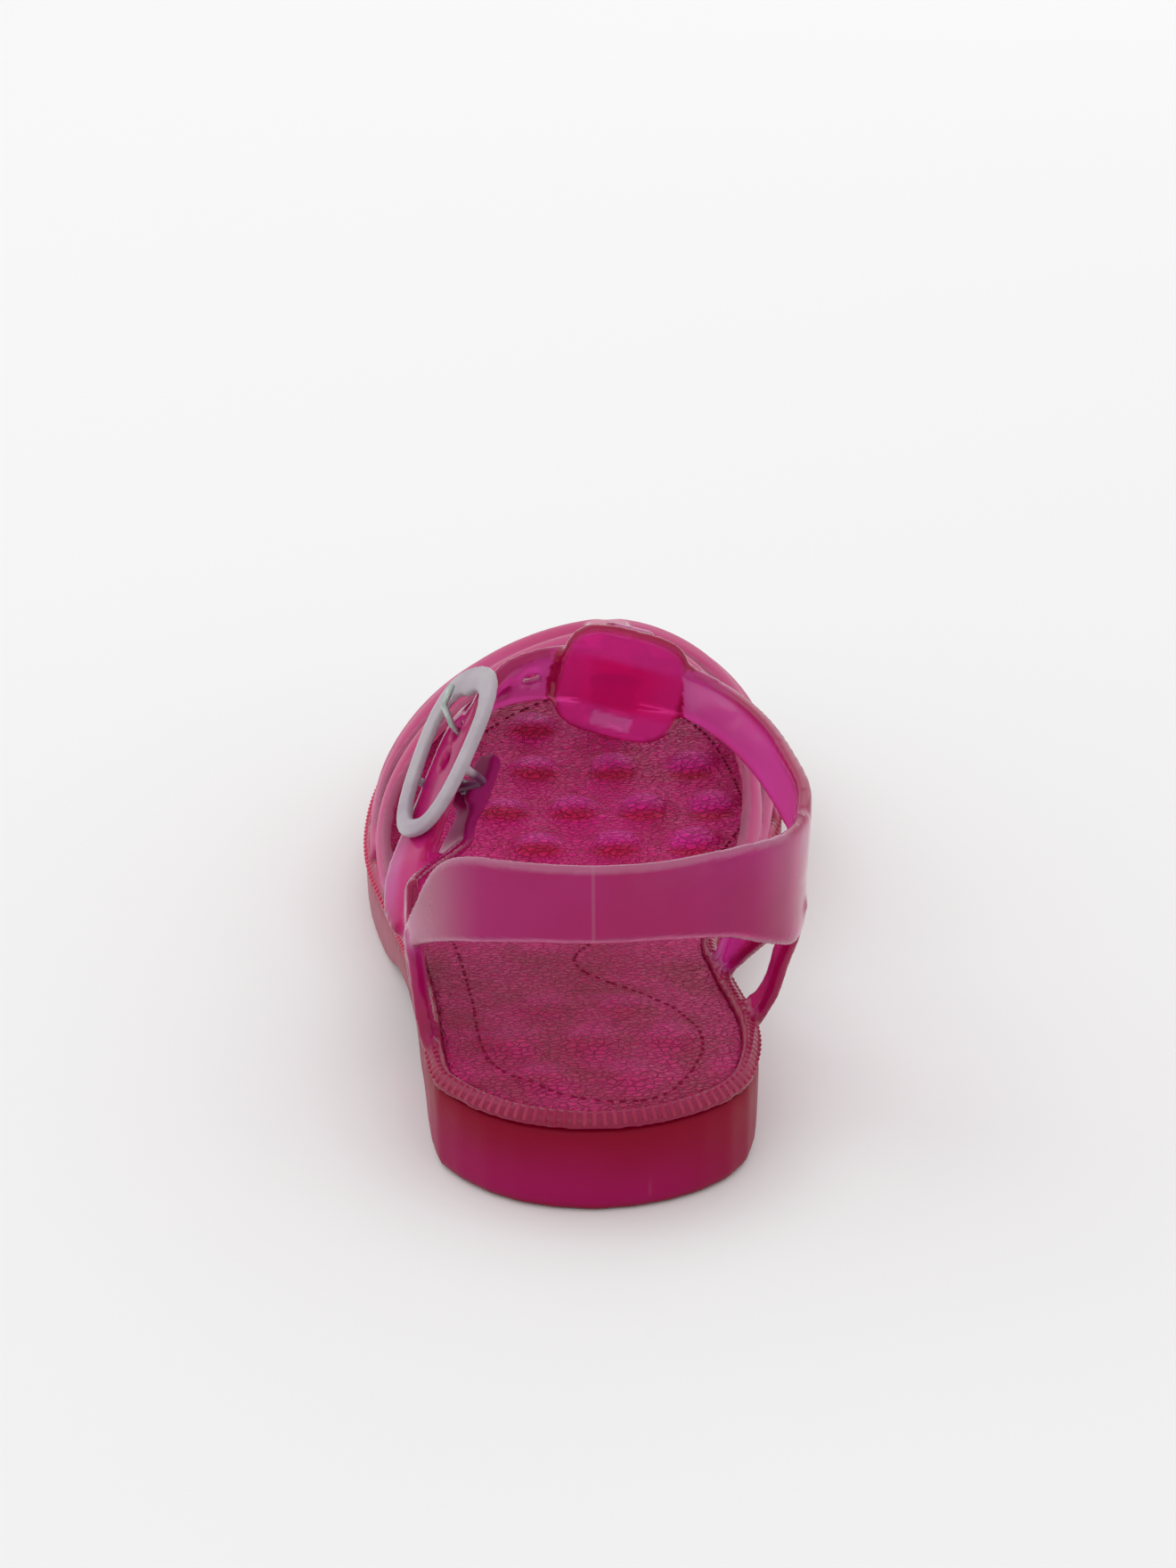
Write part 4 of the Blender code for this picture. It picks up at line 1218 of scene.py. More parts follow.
@dataclass
class Upper:
    """The jelly upper: welt, heel band, legs, ankle strap, loop, cage vamp and T-bar."""

    form: FootForm
    voxel: float = 0.60 * MM
    rounds: int = 7
    welt_width: float = 3.2 * MM
    welt_height: float = 2.8 * MM
    band_height: float = 13.2 * MM
    band_thickness: float = 2.2 * MM
    strap_width: float = 10.5 * MM
    strap_thickness: float = 2.6 * MM
    hole_length: float = 3.6 * MM
    hole_width: float = 2.2 * MM
    hole_pitch: float = 5.4 * MM
    leg_width: float = 7.2 * MM
    leg_thickness: float = 2.4 * MM
    pad_width: float = 9.0 * MM
    pad_thickness: float = 2.0 * MM
    pad_depth: float = 9.4 * MM
    pad_shift: float = 2.5 * MM
    lug_width: float = 2.3 * MM
    strip_width: float = 7.6 * MM
    strip_thickness: float = 2.9 * MM
    strip_inset: float = 0.85
    bar_width: float = 9.0 * MM
    bar_thickness: float = 2.5 * MM
    ridge_width: float = 8.2 * MM
    ridge_across: float = 0.058
    tab_size: tuple = (22.0 * MM, 22.5 * MM, 2.0 * MM)
    tab_turn: float = math.radians(8)
    tab_shift: float = 0.7 * MM
    loop_gap: float = 0.6 * MM
    bridge_size: tuple = (7.0 * MM, 3.0 * MM)
    buckle_length: float = 32.0 * MM
    buckle_bar: float = 2.4 * MM
    buckle_shift: float = 2.2 * MM
    axle: float = 1.6 * MM
    loop_row: float = 6.75
    buckle_row: float = 11.78
    hole_row: float = 11.40
    fullness: dict = field(default_factory=lambda: {Side.OUTER: 1.70, Side.INNER: 1.88})
    heel_band: tuple = table(
        Row,
        (-0.377, 0.201, 0.590, 0.25, 0), (-0.374, 0.159, 0.640, 0.32, 0), (-0.346, 0.111, 0.762, 0.50, 0),
        (-0.265, 0.064, 0.912, 1.05, 0), (-0.139, 0.033, 0.957, 1.03, 0), (0.000, 0.024, 0.963, 1.00, 0),
        (0.146, 0.032, 0.960, 1.02, 0), (0.291, 0.064, 0.931, 1.17, 0), (0.389, 0.106, 0.872, 1.42, 0),
        (0.432, 0.153, 0.835, 1.62, -2), (0.444, 0.205, 0.870, 1.15, -4),
    )
    ankle_strap: tuple = table(
        Row,
        (0.430, 0.150, 0.935, 0.80, -2), (0.443, 0.205, 0.938, 1.00, -4), (0.417, 0.270, 0.945, 1.00, -6),
        (0.379, 0.334, 0.950, 1.00, -5), (0.327, 0.390, 0.952, 1.00, 0), (0.256, 0.434, 0.965, 1.00, 8),
        (0.160, 0.460, 0.990, 1.00, 12), (0.045, 0.469, 1.010, 1.00, 12), (-0.060, 0.467, 1.013, 1.00, 14),
        (-0.150, 0.462, 0.995, 1.00, 24), (-0.208, 0.452, 0.962, 1.00, 38),
        (-0.252, 0.438, 0.922, 1.00, 50), (-0.311, 0.397, 0.775, 1.00, 54),
        (-0.368, 0.354, 0.628, 1.00, 52), (-0.390, 0.312, 0.590, 0.98, 46),
        (-0.394, 0.268, 0.560, 0.86, 42), (-0.392, 0.236, 0.530, 0.46, 40),
    )
    pad_root: tuple = table(
        Row,
        (-0.376, 0.175, 0.685, 1.20, 0), (-0.364, 0.250, 0.628, 1.05, -20),
    )
    pad_under: tuple = table(
        Under,
        (0.44, 1.00, -46), (0.16, 0.95, -54), (-0.06, 0.86, -54), (-0.14, 0.50, -54),
    )
    legs: dict = field(
        default_factory=lambda: {
            "outer_rear_leg": table(
                Row,
                (-0.376, 0.172, 0.665, 1.90, 0), (-0.368, 0.166, 0.560, 1.40, 0),
                (-0.362, 0.163, 0.460, 0.95, 0), (-0.353, 0.157, 0.370, 0.90, 0),
                (-0.336, 0.150, 0.270, 1.10, 0),
            ),
            "outer_front_leg": table(
                Row,
                (-0.378, 0.195, 0.650, 1.60, 0), (-0.379, 0.222, 0.560, 1.20, 0),
                (-0.382, 0.256, 0.430, 0.95, 0), (-0.375, 0.296, 0.235, 1.15, 0),
            ),
            "inner_rear_leg": table(
                Row,
                (0.438, 0.182, 0.760, 1.90, 0), (0.424, 0.186, 0.620, 1.35, 0),
                (0.402, 0.191, 0.500, 0.95, 0), (0.380, 0.196, 0.380, 0.85, 0),
                (0.334, 0.204, 0.255, 1.10, 0),
            ),
            "inner_front_leg": table(
                Row,
                (0.440, 0.190, 0.790, 1.70, 0), (0.424, 0.222, 0.630, 1.25, 0),
                (0.362, 0.272, 0.440, 1.00, 0), (0.285, 0.326, 0.235, 1.20, 0),
            ),
        }
    )
    ridge: tuple = table(
        Level,
        (0.455, 0.970), (0.550, 0.945), (0.635, 0.885), (0.690, 0.825), (0.750, 0.725), (0.830, 0.585),
        (0.900, 0.455), (0.955, 0.375), (0.990, 0.320),
    )
    lace_course: tuple = table(
        Lace,
        (0.020, 0.00, 0.60), (0.090, 0.42, 0.85), (0.190, 0.76, 1.00), (0.360, 0.93, 1.00),
        (0.650, 1.03, 0.95), (0.985, 1.00, 0.80),
    )
    lace_starts: tuple = (0.475, 0.560, 0.645, 0.730, 0.815)
    lace_sweeps: tuple = (0.135, 0.130, 0.120, 0.105, 0.080)
    strip_steps: int = 30
    strip_body: float = 0.74
    strip_crown: float = 0.9 * MM
    bar_reach: tuple = (0.535, 0.985)
    bar_steps: int = 70
    bar_body: float = 0.86
    bar_crown: float = 0.5 * MM
    tab_power: float = 3.4
    tail_row: float = 12.6
    lug_place: float = 0.12
    welt_steps: int = 360
    welt_crest: tuple = ((0.24, 0.84), (0.55, 0.99), (0.80, 0.90), (1.0, 0.74))
    edge_bends: tuple = (170.0, 430.0)
    edge_rounds: int = 4
    finish: ClearVinyl = ClearVinyl()

    @property
    def ridge_x(self) -> float:
        """Place of the vamp's ridge across the shoe."""
        return self.ridge_across * self.form.ball_width

    @property
    def bar_ahead(self) -> float:
        """How far the T-bar's middle lies in front of the ankle strap's."""
        return self.strap_thickness / 2 + self.loop_gap + self.bar_thickness / 2

    @property
    def plate_behind(self) -> float:
        """How far the tab plate's middle lies behind the ankle strap's."""
        return self.strap_thickness / 2 + self.loop_gap + self.tab_size[2] / 2

    def swept(
        self, name: str, station: Callable[[float], Station], steps: int, thickness: float, crown: float = 0.0
    ) -> Piece:
        """Sheet bent along a strap's stations, then thickened and rounded.

        Args:
            name: The strap's name.
            station: Gives the section at a share of the strap.
            steps: How many sections.
            thickness: The strap's thickness.
            crown: How far the middle of the width stands proud.

        Returns:
            The strap.
        """
        sheet = added(
            bpy.ops.mesh.primitive_grid_add, name, x_subdivisions=steps, y_subdivisions=6, size=2
        )
        known: dict[float, Station] = {}
        for vert in sheet.data.vertices:
            share = round((vert.co.x + 1) / 2, 5)
            if share not in known:
                known[share] = station(share)
            here = known[share]
            side = math.copysign(abs(vert.co.y) ** 0.6, vert.co.y)
            lift = here.outward * crown * (1 - side * side)
            vert.co = here.centre + here.half * side + lift
        finish_with(sheet, "SOLIDIFY", thickness=thickness, offset=0.0, use_even_offset=True)
        finish_with(sheet, "SUBSURF", levels=1, render_levels=1)
        return sheet

    def above_sole(self, station: Station, thickness: float) -> Station:
        """Raise a station where the strap's foot would reach below the welt.

        Args:
            station: The station.
            thickness: The strap's thickness.

        Returns:
            The raised station.
        """
        lowest = station.centre.z - abs(station.half.z) - abs(station.outward.z) * thickness / 2
        floor = self.form.wall_top(station.centre.y) + 2 * self.form.clearance
        return station._replace(centre=station.centre + UP * max(floor - lowest, 0))

    def flat_strap(self, name: str, rows: tuple, width: float, thickness: float, hint: Vector = UP) -> Piece:
        """Flat strap along a table of rows.

        Args:
            name: The strap's name.
            rows: Its rows.
            width: Its full width.
            thickness: Its thickness.
            hint: The direction that its width follows.

        Returns:
            The strap.
        """

        def station(share: float) -> Station:
            """Section of the strap at a share of its rows.

            Args:
                share: The share of the way along.

            Returns:
                The station.
            """
            here, _, wide = self.form.frame_at(rows, share * (len(rows) - 1), hint)
            full = here._replace(half=here.half * (width * wide / 2 + 0.1 * MM))
            return self.above_sole(full, thickness)

        return self.swept(name, station, 6 * (len(rows) - 1), thickness)

    def ridge_at(self, along: float) -> float:
        """Height of the vamp's ridge at a share of the length.

        Args:
            along: The share of the length.

        Returns:
            The height.
        """
        if along <= self.ridge[0].along:
            return self.ridge[0].up * self.form.instep_height
        for index, (low, high) in enumerate(zip(self.ridge, self.ridge[1:])):
            if along <= high.along:
                share = (along - low.along) / (high.along - low.along)
                return smooth(self.ridge, index + share)[1] * self.form.instep_height
        return self.ridge[-1].up * self.form.instep_height

    def flank_point(self, side: Side, along: float, height: float) -> Vector:
        """Point of the foot over the vamp: height 0 is the welt and height 1 the ridge.

        Args:
            side: The side of the shoe.
            along: The share of the length.
            height: The share of the way up the flank.

        Returns:
            The point.
        """
        y = self.form.y_at(along)
        edge = self.form.edge_at(side, y)
        inset = self.strip_inset * self.welt_width
        base = Vector((edge.x - side.value * inset, y, edge.z + 0.6 * self.welt_height))
        turn = height * math.pi / 2
        power = 2 / self.fullness[side]
        across = self.ridge_x + (base.x - self.ridge_x) * math.cos(turn) ** power
        return Vector((across, y, base.z + (self.ridge_at(along) - base.z) * math.sin(turn) ** power))

    def vamp_strip(self, side: Side, start: float, reach: float) -> Piece:
        """One strip of the cage, from the welt up to the T-bar.

        Args:
            side: The side of the shoe.
            start: Share of the length at which it leaves the welt.
            reach: How far it sweeps forwards, as a share of the length.

        Returns:
            The strip.
        """

        def point(share: float) -> tuple[Vector, float]:
            """Middle of the strip and its width share.

            Args:
                share: The share of the way along.

            Returns:
                The place and the width share.
            """
            share = min(max(share, 0.0), 1.0)
            height, forward, width = smooth(self.lace_course, share * (len(self.lace_course) - 1))
            return self.flank_point(side, start + forward * reach, height), width

        def station(share: float) -> Station:
            """Section of the strip.

            Args:
                share: The share of the way along.

            Returns:
                The station.
            """
            centre, width = point(share)
            run = (point(share + 0.04)[0] - point(share - 0.04)[0]).normalized()
            axis = Vector((self.ridge_x, centre.y, self.form.wall_top(centre.y)))
            wide = run.cross((centre - axis).normalized()).normalized()
            half = wide * (self.strip_width * width / 2)
            return self.above_sole(Station(centre, half, wide.cross(run)), self.strip_thickness)

        body = self.strip_body * self.strip_thickness
        return self.swept(f"vamp_{side.name.lower()}", station, self.strip_steps, body, self.strip_crown)

    def loop_frame(self) -> tuple[Vector, Vector, Vector, Vector]:
        """Place and directions of the loop: across the shoe, up and towards the toe.

        Returns:
            The loop's middle and its three directions.
        """
        here, run, _ = self.form.frame_at(self.ankle_strap, self.loop_row, UP)
        turn = Matrix.Rotation(self.tab_turn, 3, here.outward)
        return here.centre, turn @ -run, turn @ here.half, here.outward

    def block(self, name: str, centre: Vector, sides: tuple, sizes: tuple, rounding: float) -> Piece:
        """Block with rounded edges at a place and a turn.

        Args:
            name: The block's name.
            centre: Its middle.
            sides: Its three directions.
            sizes: Its three sizes.
            rounding: The radius of its edges.

        Returns:
            The block.
        """
        block = added(bpy.ops.mesh.primitive_cube_add, name, size=1.0)
        stretch(block, sizes)
        finish_with(block, "BEVEL", width=rounding, segments=3)
        set_at(block, centre, sides)
        return block

    def tab_plate(self) -> Piece:
        """Rounded square plate of the loop, on the heel side of the strap.

        Returns:
            The plate.
        """
        centre, across, up, forward = self.loop_frame()
        wide, high, thick = self.tab_size
        middle = centre + across * self.tab_shift - forward * self.plate_behind
        plate = added(bpy.ops.mesh.primitive_cylinder_add, "tab_plate", vertices=72, radius=1.0, depth=1.0)
        for vert in plate.data.vertices:
            x, y, z = vert.co
            grow = (abs(x) ** self.tab_power + abs(y) ** self.tab_power) ** (-1 / self.tab_power)
            vert.co = middle + across * x * grow * wide / 2 + up * y * grow * high / 2 + forward * z * thick
        finish_with(plate, "BEVEL", width=0.7 * MM, segments=3, limit_method="ANGLE")
        return plate

    def loop_blocks(self) -> list[Piece]:
        """Upright end of the T-bar and the two bridges that hold the plate to it.

        Returns:
            The three blocks.
        """
        centre, across, up, forward = self.loop_frame()
        width, height = self.bridge_size
        back, front = self.plate_behind, self.bar_ahead
        lift = self.strap_width / 2 + self.loop_gap + height / 2
        sides = (across, forward, up)
        low, high = -lift - 0.6 * height, lift
        bar_middle = centre + forward * front + up * (low + high) / 2
        bar = (self.bar_width, self.bar_thickness, high - low)
        blocks = [self.block("loop_bar", bar_middle, sides, bar, 0.6 * MM)]
        bridges = (("lower_bridge", -lift, height), ("upper_bridge", lift - 0.15 * height, 0.7 * height))
        for name, level, tall in bridges:
            middle = centre + up * level + forward * (front - back) / 2
            blocks.append(self.block(name, middle, sides, (width, back + front, tall), 0.4 * MM))
        return blocks

    def t_bar(self) -> Piece:
        """Centre bar from the loop along the ridge to the welt at the toe.

        Returns:
            The bar.
        """
        centre, _, up, forward = self.loop_frame()
        places = [tuple(centre + forward * self.bar_ahead - up * 0.3 * self.strap_width)]
        start, end = self.bar_reach
        steps = 14
        for step in range(steps + 1):
            along = start + (end - start) * step / steps
            height = self.ridge_at(along) + 0.2 * self.bar_thickness
            places.append((self.ridge_x, self.form.y_at(along), height))
        toe_y = self.form.y_at(1) - 0.62 * self.welt_width
        places.append((self.ridge_x, toe_y, self.form.wall_top(toe_y) + 0.6 * self.welt_height))

        def point(share: float) -> Vector:
            """Middle of the bar."""
            return Vector(smooth(tuple(places), min(max(share, 0.0), 1.0) * (len(places) - 1)))

        def station(share: float) -> Station:
            """Section of the bar."""
            run = (point(share + 0.02) - point(share - 0.02)).normalized()
            return Station(point(share), ACROSS * self.ridge_width / 2, ACROSS.cross(run).normalized())

        body = self.bar_body * self.bar_thickness
        return self.swept("t_bar", station, self.bar_steps, body, self.bar_crown)

    def buckle_axes(self) -> tuple[Vector, Vector, Vector, Vector]:
        """Middle of the buckle's frame, its long direction, its wide one and its outward one.

        Returns:
            The middle and the three directions.
        """
        here, run, _ = self.form.frame_at(self.ankle_strap, self.buckle_row, UP)
        lift = self.strap_thickness / 2 + self.form.clearance + self.buckle_bar / 2
        middle = here.centre + here.outward * lift + here.half * self.buckle_shift
        return middle, run, here.half, here.outward

    def buckle_pad(self) -> list[Piece]:
        """Pad of the little-toe side, with the two lugs that carry the buckle's axle.

        Returns:
            The pad and its two lugs.
        """
        middle, run, wide, outward = self.buckle_axes()
        form = self.form
        rows = list(self.pad_root)
        for under in self.pad_under:
            point = middle + run * under.run * self.buckle_length - outward * self.pad_depth
            point -= wide * self.pad_shift
            along = (point.y + form.heel_seat) / form.length
            shares = (point.x / form.ball_width, along, point.z / form.instep_height)
            rows.append(Row(*shares, under.width, under.lean))
        pieces = [self.flat_strap("buckle_pad", tuple(rows), self.pad_width, self.pad_thickness)]
        strap_back = self.buckle_bar / 2 + 2 * form.clearance + self.strap_thickness
        axle_depth = strap_back + self.axle / 2 + form.clearance
        low, high = self.pad_depth, axle_depth + 0.5 * self.axle + form.clearance
        size = (self.axle + 2.6 * MM, self.lug_width, low - high)
        aside = (self.lug_width + 1.3 * MM) / 2 + form.clearance
        for sign in (-1, 1):
            spot = middle + run * self.lug_place * self.buckle_length
            spot -= wide * (self.buckle_shift - aside * sign) + outward * (low + high) / 2
            pieces.append(self.block(f"lug_{sign + 1}", spot, (run, wide, outward), size, 0.3 * MM))
        return pieces

    def hole_rows(self) -> list[float]:
        """Rows of the ankle strap at which its holes lie, an equal pitch apart.

        Returns:
            The fractional rows.
        """
        rows, fine = [self.hole_row], 0.02
        for direction, count in ((1, 1), (-1, 3)):
            row, gone, found = self.hole_row, 0.0, 0
            while found < count:
                here = self.form.row_point(smooth(self.ankle_strap, row))
                row += direction * fine
                gone += (self.form.row_point(smooth(self.ankle_strap, row)) - here).length
                if gone >= self.hole_pitch:
                    rows.append(row)
                    gone, found = 0.0, found + 1
        return rows

    def pierce(self, strap: Piece) -> None:
        """Cut the oval holes through the ankle strap.

        Args:
            strap: The ankle strap.
        """
        for row in self.hole_rows():
            here, run, _ = self.form.frame_at(self.ankle_strap, row, UP)
            depth = 4 * self.strap_thickness
            punch = added(bpy.ops.mesh.primitive_cylinder_add, "punch", vertices=24, radius=0.5, depth=depth)
            stretch(punch, (self.hole_length, self.hole_width, 1.0))
            set_at(punch, here.centre, (run, here.half, here.outward))
            finish_with(strap, "BOOLEAN", object=punch, operation="DIFFERENCE", solver="EXACT")
            bpy.data.objects.remove(punch)

    def welt(self) -> Piece:
        """Smooth rim under the ribs, closed all round.

        Returns:
            The rim.
        """
        count = self.welt_steps
        low, high = 0.3 * MM, self.welt_height + 0.1 * MM
        slope = [(share, lift * high) for share, lift in self.welt_crest]
        profile = [(0.0, low), (0.0, 0.45 * high), *slope, (1.0, low)]
        rings = [self.form.ring(count, share * self.welt_width, lift) for share, lift in profile]
        cuts = {"x_subdivisions": count, "y_subdivisions": len(rings)}
        welt = added(bpy.ops.mesh.primitive_grid_add, "welt", size=2, **cuts)
        for vert in welt.data.vertices:
            along = round((vert.co.x + 1) / 2 * count) % count
            around = round((vert.co.y + 1) / 2 * len(rings)) % len(rings)
            vert.co = rings[around][along]
        weld(welt, 0.001 * MM)
        turn_outwards(welt)
        return welt

    def build(self) -> Piece:
        """Make all straps, fuse them into one moulding and soften it.

        Returns:
            The upper.
        """
        strap = self.flat_strap("ankle_strap", self.ankle_strap, self.strap_width, self.strap_thickness)
        self.pierce(strap)
        pieces = [
            self.welt(),
            self.flat_strap("heel_band", self.heel_band, self.band_height, self.band_thickness),
            strap,
            self.tab_plate(),
            self.t_bar(),
            *self.loop_blocks(),
            *self.buckle_pad(),
        ]
        for name, rows in self.legs.items():
            pieces.append(self.flat_strap(name, rows, self.leg_width, self.leg_thickness, TO_TOE))
        for side in Side:
            for start, reach in zip(self.lace_starts, self.lace_sweeps):
                pieces.append(self.vamp_strip(side, start, reach))
        upper = joined("jelly_upper", pieces)
        softened(upper, self.voxel, self.rounds)
        # Edge curvature, which carries the painted edge highlights and painted edge shade
        paint(upper, "edge", edge_strength(upper, *self.edge_bends, self.edge_rounds))
        for tint in (self.tint_vamp, self.tint_strap, self.tint_pad, self.tint_tab):
            tint(upper)
        return upper

    def tint_vamp(self, upper: Piece) -> None:
        """Paint the feet of the straps, and a highlight on the outer faces of the vamp's strips.

        Args:
            upper: The upper.
        """
        feet, lace_out = [], []
        for vert in upper.data.vertices:
            level = self.form.wall_top(vert.co.y)
            feet.append(1 - rise(vert.co.z - level, 0.75 * self.welt_height, 1.4 * self.welt_height))
            from_axis = Vector((vert.co.x - self.ridge_x, 0, vert.co.z - level)).normalized()
            beyond = rise(vert.co.y / MM, *VAMP_START)
            # Painted highlight where the strips face outwards
            lace_out.append(beyond * rise(vert.normal.dot(from_axis), 0.60, 0.97))
        paint(upper, "foot", feet)
        paint(upper, "lace_out", lace_out)

    def tint_strap(self, upper: Piece) -> None:
        """Paint the ankle strap: a painted highlight on its middle and along its lower edge, and its deep
        free end.

        Args:
            upper: The upper.
        """
        count = 160
        last = len(self.ankle_strap) - 1
        stations = [self.form.frame_at(self.ankle_strap, last * i / count, UP)[0] for i in range(count + 1)]
        tree = KDTree(len(stations))
        for index, station in enumerate(stations):
            tree.insert(station.centre, index)
        tree.balance()
        middles, lows, tails = [], [], []
        half = self.strap_width / 2
        for vert in upper.data.vertices:
            _, index, far = tree.find(vert.co)
            middle = low = tail = 0.0
            if far < 1.25 * half:
                station = stations[index]
                away = vert.co - station.centre
                height = away.dot(station.half) / half
                if abs(away.dot(station.outward)) < 0.75 * self.strap_thickness and abs(height) < 1.15:
                    # Painted highlight along the strap's lower edge
                    low = 1 - rise(height, -0.97, -0.86)
                    if index * last > self.tail_row * count:
                        tail = rise(height, -0.5, 0.1)
                    else:
                        # Painted highlight on the middle of the strap's inner face
                        facing = rise(-vert.normal.dot(station.outward), 0.2, 0.7)
                        middle = facing * (1 - rise(abs(height), 0.50, 1.05))
            middles.append(middle)
            lows.append(low)
            tails.append(tail)
        paint(upper, "strap_lit_middle", middles)
        paint(upper, "strap_low_highlight", lows)
        paint(upper, "tail", tails)

    def tint_pad(self, upper: Piece) -> None:
        """Paint shadow under the buckle, on the pad and its lugs.

        Args:
            upper: The upper.
        """
        middle, run, wide, outward = self.buckle_axes()
        pad = []
        for vert in upper.data.vertices:
            local = vert.co - middle
            deep, long = -local.dot(outward), local.dot(run) / self.buckle_length
            inside = -0.35 < long < 0.5 and abs(local.dot(wide)) < 10 * MM and deep < 13 * MM
            # Painted shadow, deeper under the buckle
            painted_shadow = rise(deep, 5 * MM, 7 * MM) * (1 - rise(long, 0.30, 0.5))
            pad.append(painted_shadow if inside else 0.0)
        paint(upper, "pad", pad)

    def tint_tab(self, upper: Piece) -> None:
        """Paint the tab plate: shade on its rim, the strap behind it as seen through, and the lower bridge,
        denser and seen through.

        Args:
            upper: The upper.
        """
        centre, across, up, forward = self.loop_frame()
        wide, high, thick = self.tab_size
        layers = {"tab": [], "tab_rim": [], "tab_see_through": [], "tab_block": []}
        for vert in upper.data.vertices:
            local = vert.co - centre - across * self.tab_shift
            x, z = 2 * local.dot(across) / wide, 2 * local.dot(up) / high
            grow = (abs(x) ** self.tab_power + abs(z) ** self.tab_power) ** (1 / self.tab_power)
            near = abs(local.dot(forward) + self.plate_behind) < 0.65 * thick
            on = 1.0 if near and grow < 1.1 else 0.0
            block = (1 - rise(abs(z + 0.66), 0.11, 0.15)) * (1 - rise(abs(x), 0.29, 0.33))
            layers["tab"].append(on)
            # Painted shade on the plate's rim
            layers["tab_rim"].append(on * rise(grow, 0.88, 0.97))
            # Painted see-through of the strap behind the plate; below, the lower bridge
            layers["tab_see_through"].append(on * (1 - rise(abs(z), 0.35, 0.52)) * (1 - 0.5 * rise(abs(x), 0.2, 0.9)))
            layers["tab_block"].append(on * block)
        for name, values in layers.items():
            paint(upper, name, values)

    def dress(self, upper: Piece) -> None:
        """Give the upper its finish and its place on the frame."""
        settle(upper, self.finish, "fuchsia_vinyl", "upper")


@dataclass
class WeltRibs:
    """Fine ribs across the welt."""

    form: FootForm
    pitch: float = 1.6 * MM
    size: tuple = (0.80 * MM, 2.5 * MM, 0.9 * MM)
    inset: float = 1.05 * MM
    lift: float = 1.98 * MM
    slope: float = math.radians(38)
    finish: RibVinyl = RibVinyl()

    def build(self) -> Piece:
        """Model one rib and repeat it round the welt.

        Returns:
            The ribs as one object.
        """
        coarse = self.form.ring(200, 0, 0)
        count = round(sum((b - a).length for a, b in zip(coarse, coarse[1:])) / self.pitch)
        middle = self.form.ring(count, self.inset, self.lift)
        inner = self.form.ring(count, self.inset + 1 * MM, self.lift)
        rib = added(bpy.ops.mesh.primitive_cube_add, "rib", size=1.0)
        stretch(rib, self.size)
        finish_with(rib, "BEVEL", width=0.28 * MM, segments=2)
        spots = []
        for here, inside in zip(middle, inner):
            inward = (inside - here).normalized()
            slant = inward * math.cos(self.slope) + UP * math.sin(self.slope)
            side = inward.cross(UP)
            spots.append((here, (side, slant, side.cross(slant))))
        ribs = repeated(rib, "welt_ribs", spots)
        activate(ribs)
        bpy.ops.object.shade_smooth_by_angle(angle=math.radians(50))
        return ribs

    def dress(self, ribs: Piece) -> None:
        """Give the ribs their finish and their place on the frame."""
        settle(ribs, self.finish, "fuchsia_vinyl")


@dataclass
class Buckle:
    """Milky frame with its axle, and the steel prong."""

    upper: Upper
    frame_voxel: float = 0.3 * MM
    frame_rounds: int = 6
    prong_voxel: float = 0.16 * MM
    prong_rounds: int = 8
    shaded_depth: tuple = (1.4 * MM, 3.2 * MM)
    plastic: MilkyPlastic = MilkyPlastic()
    steel: WireSteel = WireSteel()

    def build(self) -> tuple[Piece, Piece]:
        """Soften the CAD frame and prong.

        Returns:
            The frame and the prong.
        """
        milky_frame = soft_copy("buckle_frame", "milky_buckle", self.frame_voxel, self.frame_rounds)
        middle, _, _, outward = self.upper.buckle_axes()
        depth = [-(vert.co - middle).dot(outward) for vert in milky_frame.data.vertices]
        paint(milky_frame, "depth", [rise(deep, *self.shaded_depth) for deep in depth])
        return milky_frame, soft_copy("buckle_prong", "wire_prong", self.prong_voxel, self.prong_rounds)

    def dress(self, milky_frame: Piece, prong: Piece) -> None:
        """Give frame and prong their finishes and their places on the frame."""
        settle(milky_frame, self.plastic, "buckle_plastic", "buckle_frame")
        settle(prong, self.steel, "prong_steel", "buckle_prong")


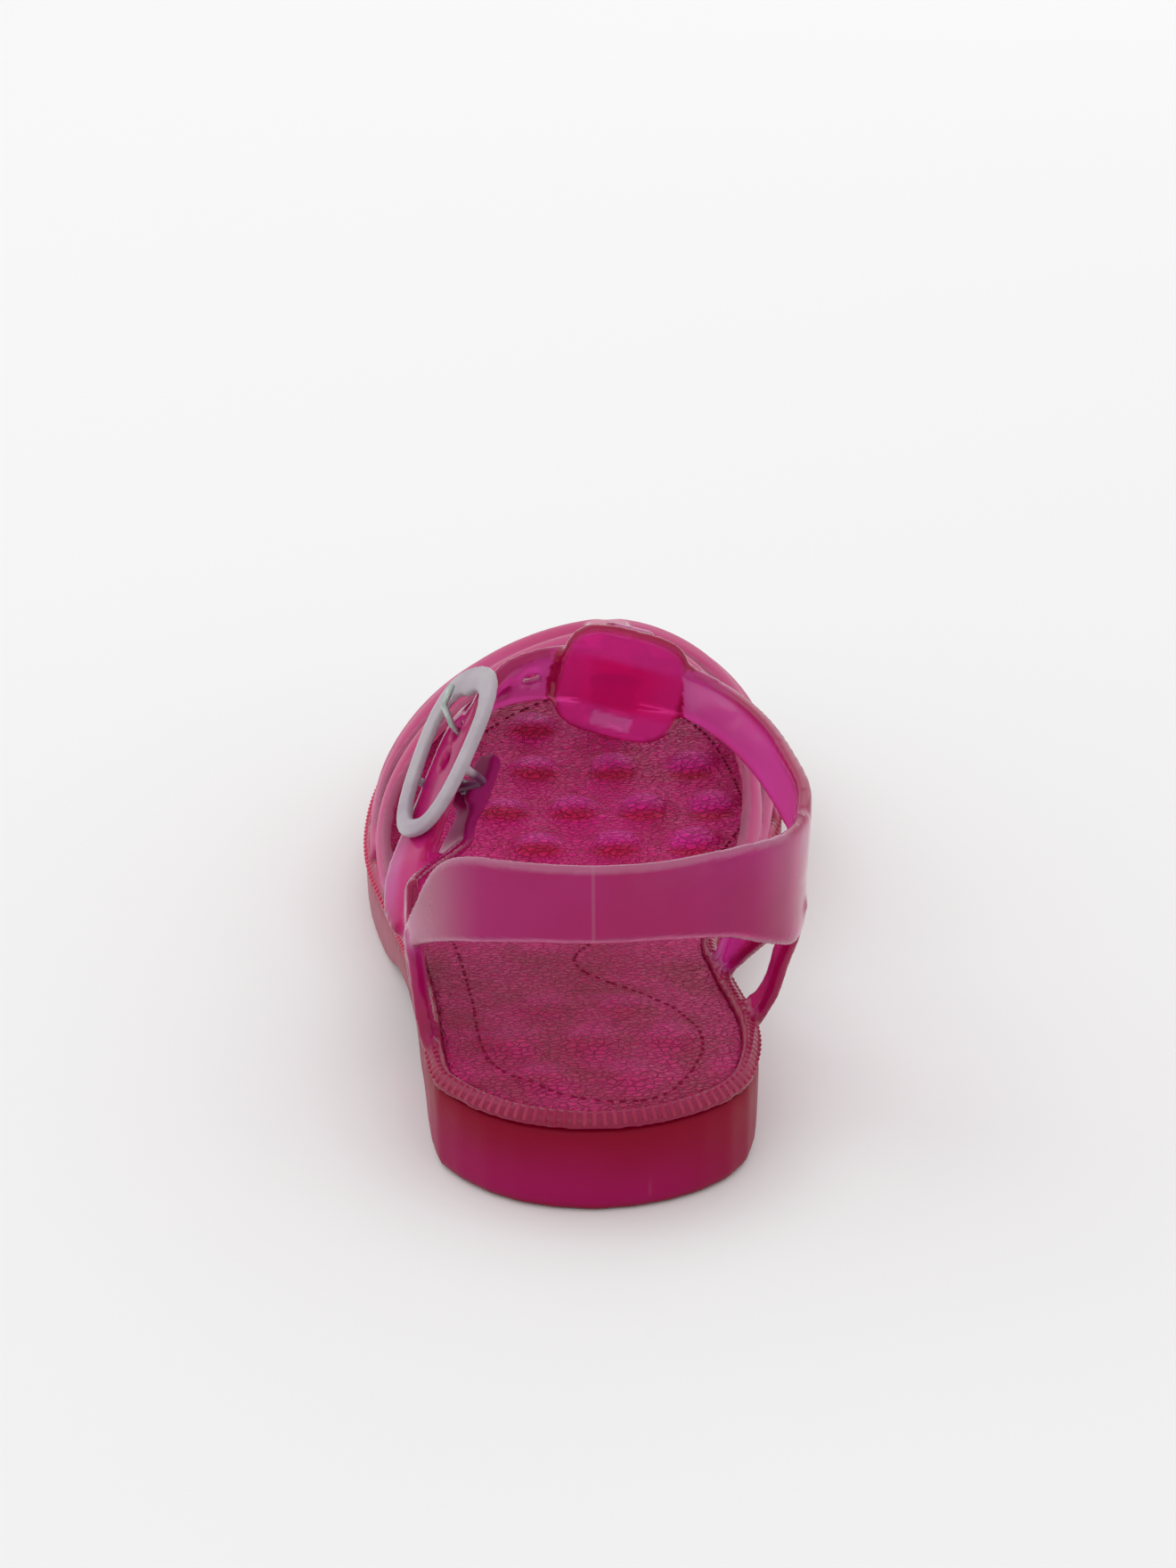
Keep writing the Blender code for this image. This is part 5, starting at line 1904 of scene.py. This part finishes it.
@dataclass
class Studio:
    """Pale floor, soft lights and the camera at the photograph's angle."""

    eye: Vector = field(default_factory=lambda: Vector((-0.008, -0.6481, 0.358)))
    yaw: float = 0.01148
    tilt: float = 0.45772
    roll: float = -0.00648
    lens: float = 105.0
    shift_y: float = 150 / 1760
    floor_side: float = 12.0
    air_strength: float = 0.89
    lamps: tuple = table(
        Lamp,
        ("key", (-0.7, 0.5, 0.9), (0, 0.06, 0.02), 0.9, 1.5),
        ("front", (-0.25, -0.9, 0.75), (0, 0.03, 0.03), 0.7, 0.6),
        ("back", (0.3, 1.0, 0.5), (0, 0.06, 0.03), 0.7, 0.8),
    )
    paper: StudioPaper = StudioPaper()

    def floor(self) -> None:
        """Wide pale floor."""
        floor = added(bpy.ops.mesh.primitive_plane_add, "studio_floor", size=self.floor_side)
        floor.data.materials.append(self.paper.build())

    def lights(self) -> None:
        """Even white air, and soft square lights from the left front, the heel and the toe."""
        world = bpy.data.worlds.new("studio_air")
        bpy.context.scene.world = world
        bpy.context.scene.view_settings.view_transform = "Standard"
        world.use_nodes = True
        air = world.node_tree.nodes["Background"]
        air.inputs["Color"].default_value = (1, 1, 1, 1)
        air.inputs["Strength"].default_value = self.air_strength
        for row in self.lamps:
            lamp = added(bpy.ops.object.light_add, row.name, type="AREA", location=row.spot)
            lamp.data.size = row.size
            lamp.data.energy = row.power
            lamp.rotation_euler = (Vector(row.aim) - Vector(row.spot)).to_track_quat("-Z", "Y").to_euler()

    def camera(self) -> None:
        """Camera fitted to the photograph."""
        level = math.cos(self.tilt)
        forward = Vector((level * math.sin(self.yaw), level * math.cos(self.yaw), -math.sin(self.tilt)))
        right = forward.cross(UP).normalized()
        up = right.cross(forward)
        c, s = math.cos(self.roll), math.sin(self.roll)
        turned = Matrix((right * c + up * s, up * c - right * s, -forward)).transposed().to_4x4()
        camera = added(bpy.ops.object.camera_add, "camera")
        camera.matrix_world = Matrix.Translation(self.eye) @ turned
        camera.data.lens = self.lens
        camera.data.sensor_width = 36
        camera.data.shift_y = self.shift_y
        camera.data.clip_start = 0.01
        bpy.context.scene.camera = camera

    def build(self) -> None:
        """Set up the whole studio."""
        self.floor()
        self.lights()
        self.camera()


def main() -> None:
    """Build every sub-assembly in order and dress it."""
    logging.basicConfig(level=logging.INFO, format="%(message)s")
    Studio().build()
    form = FootForm()
    sole = Sole()
    sole.dress(sole.build())
    footbed = Footbed()
    bed = footbed.build()
    footbed.dress(bed, footbed.build_line(bed))
    upper = Upper(form)
    upper.dress(upper.build())
    ribs = WeltRibs(form)
    ribs.dress(ribs.build())
    buckle = Buckle(upper)
    buckle.dress(*buckle.build())


if __name__ == "__main__":
    main()
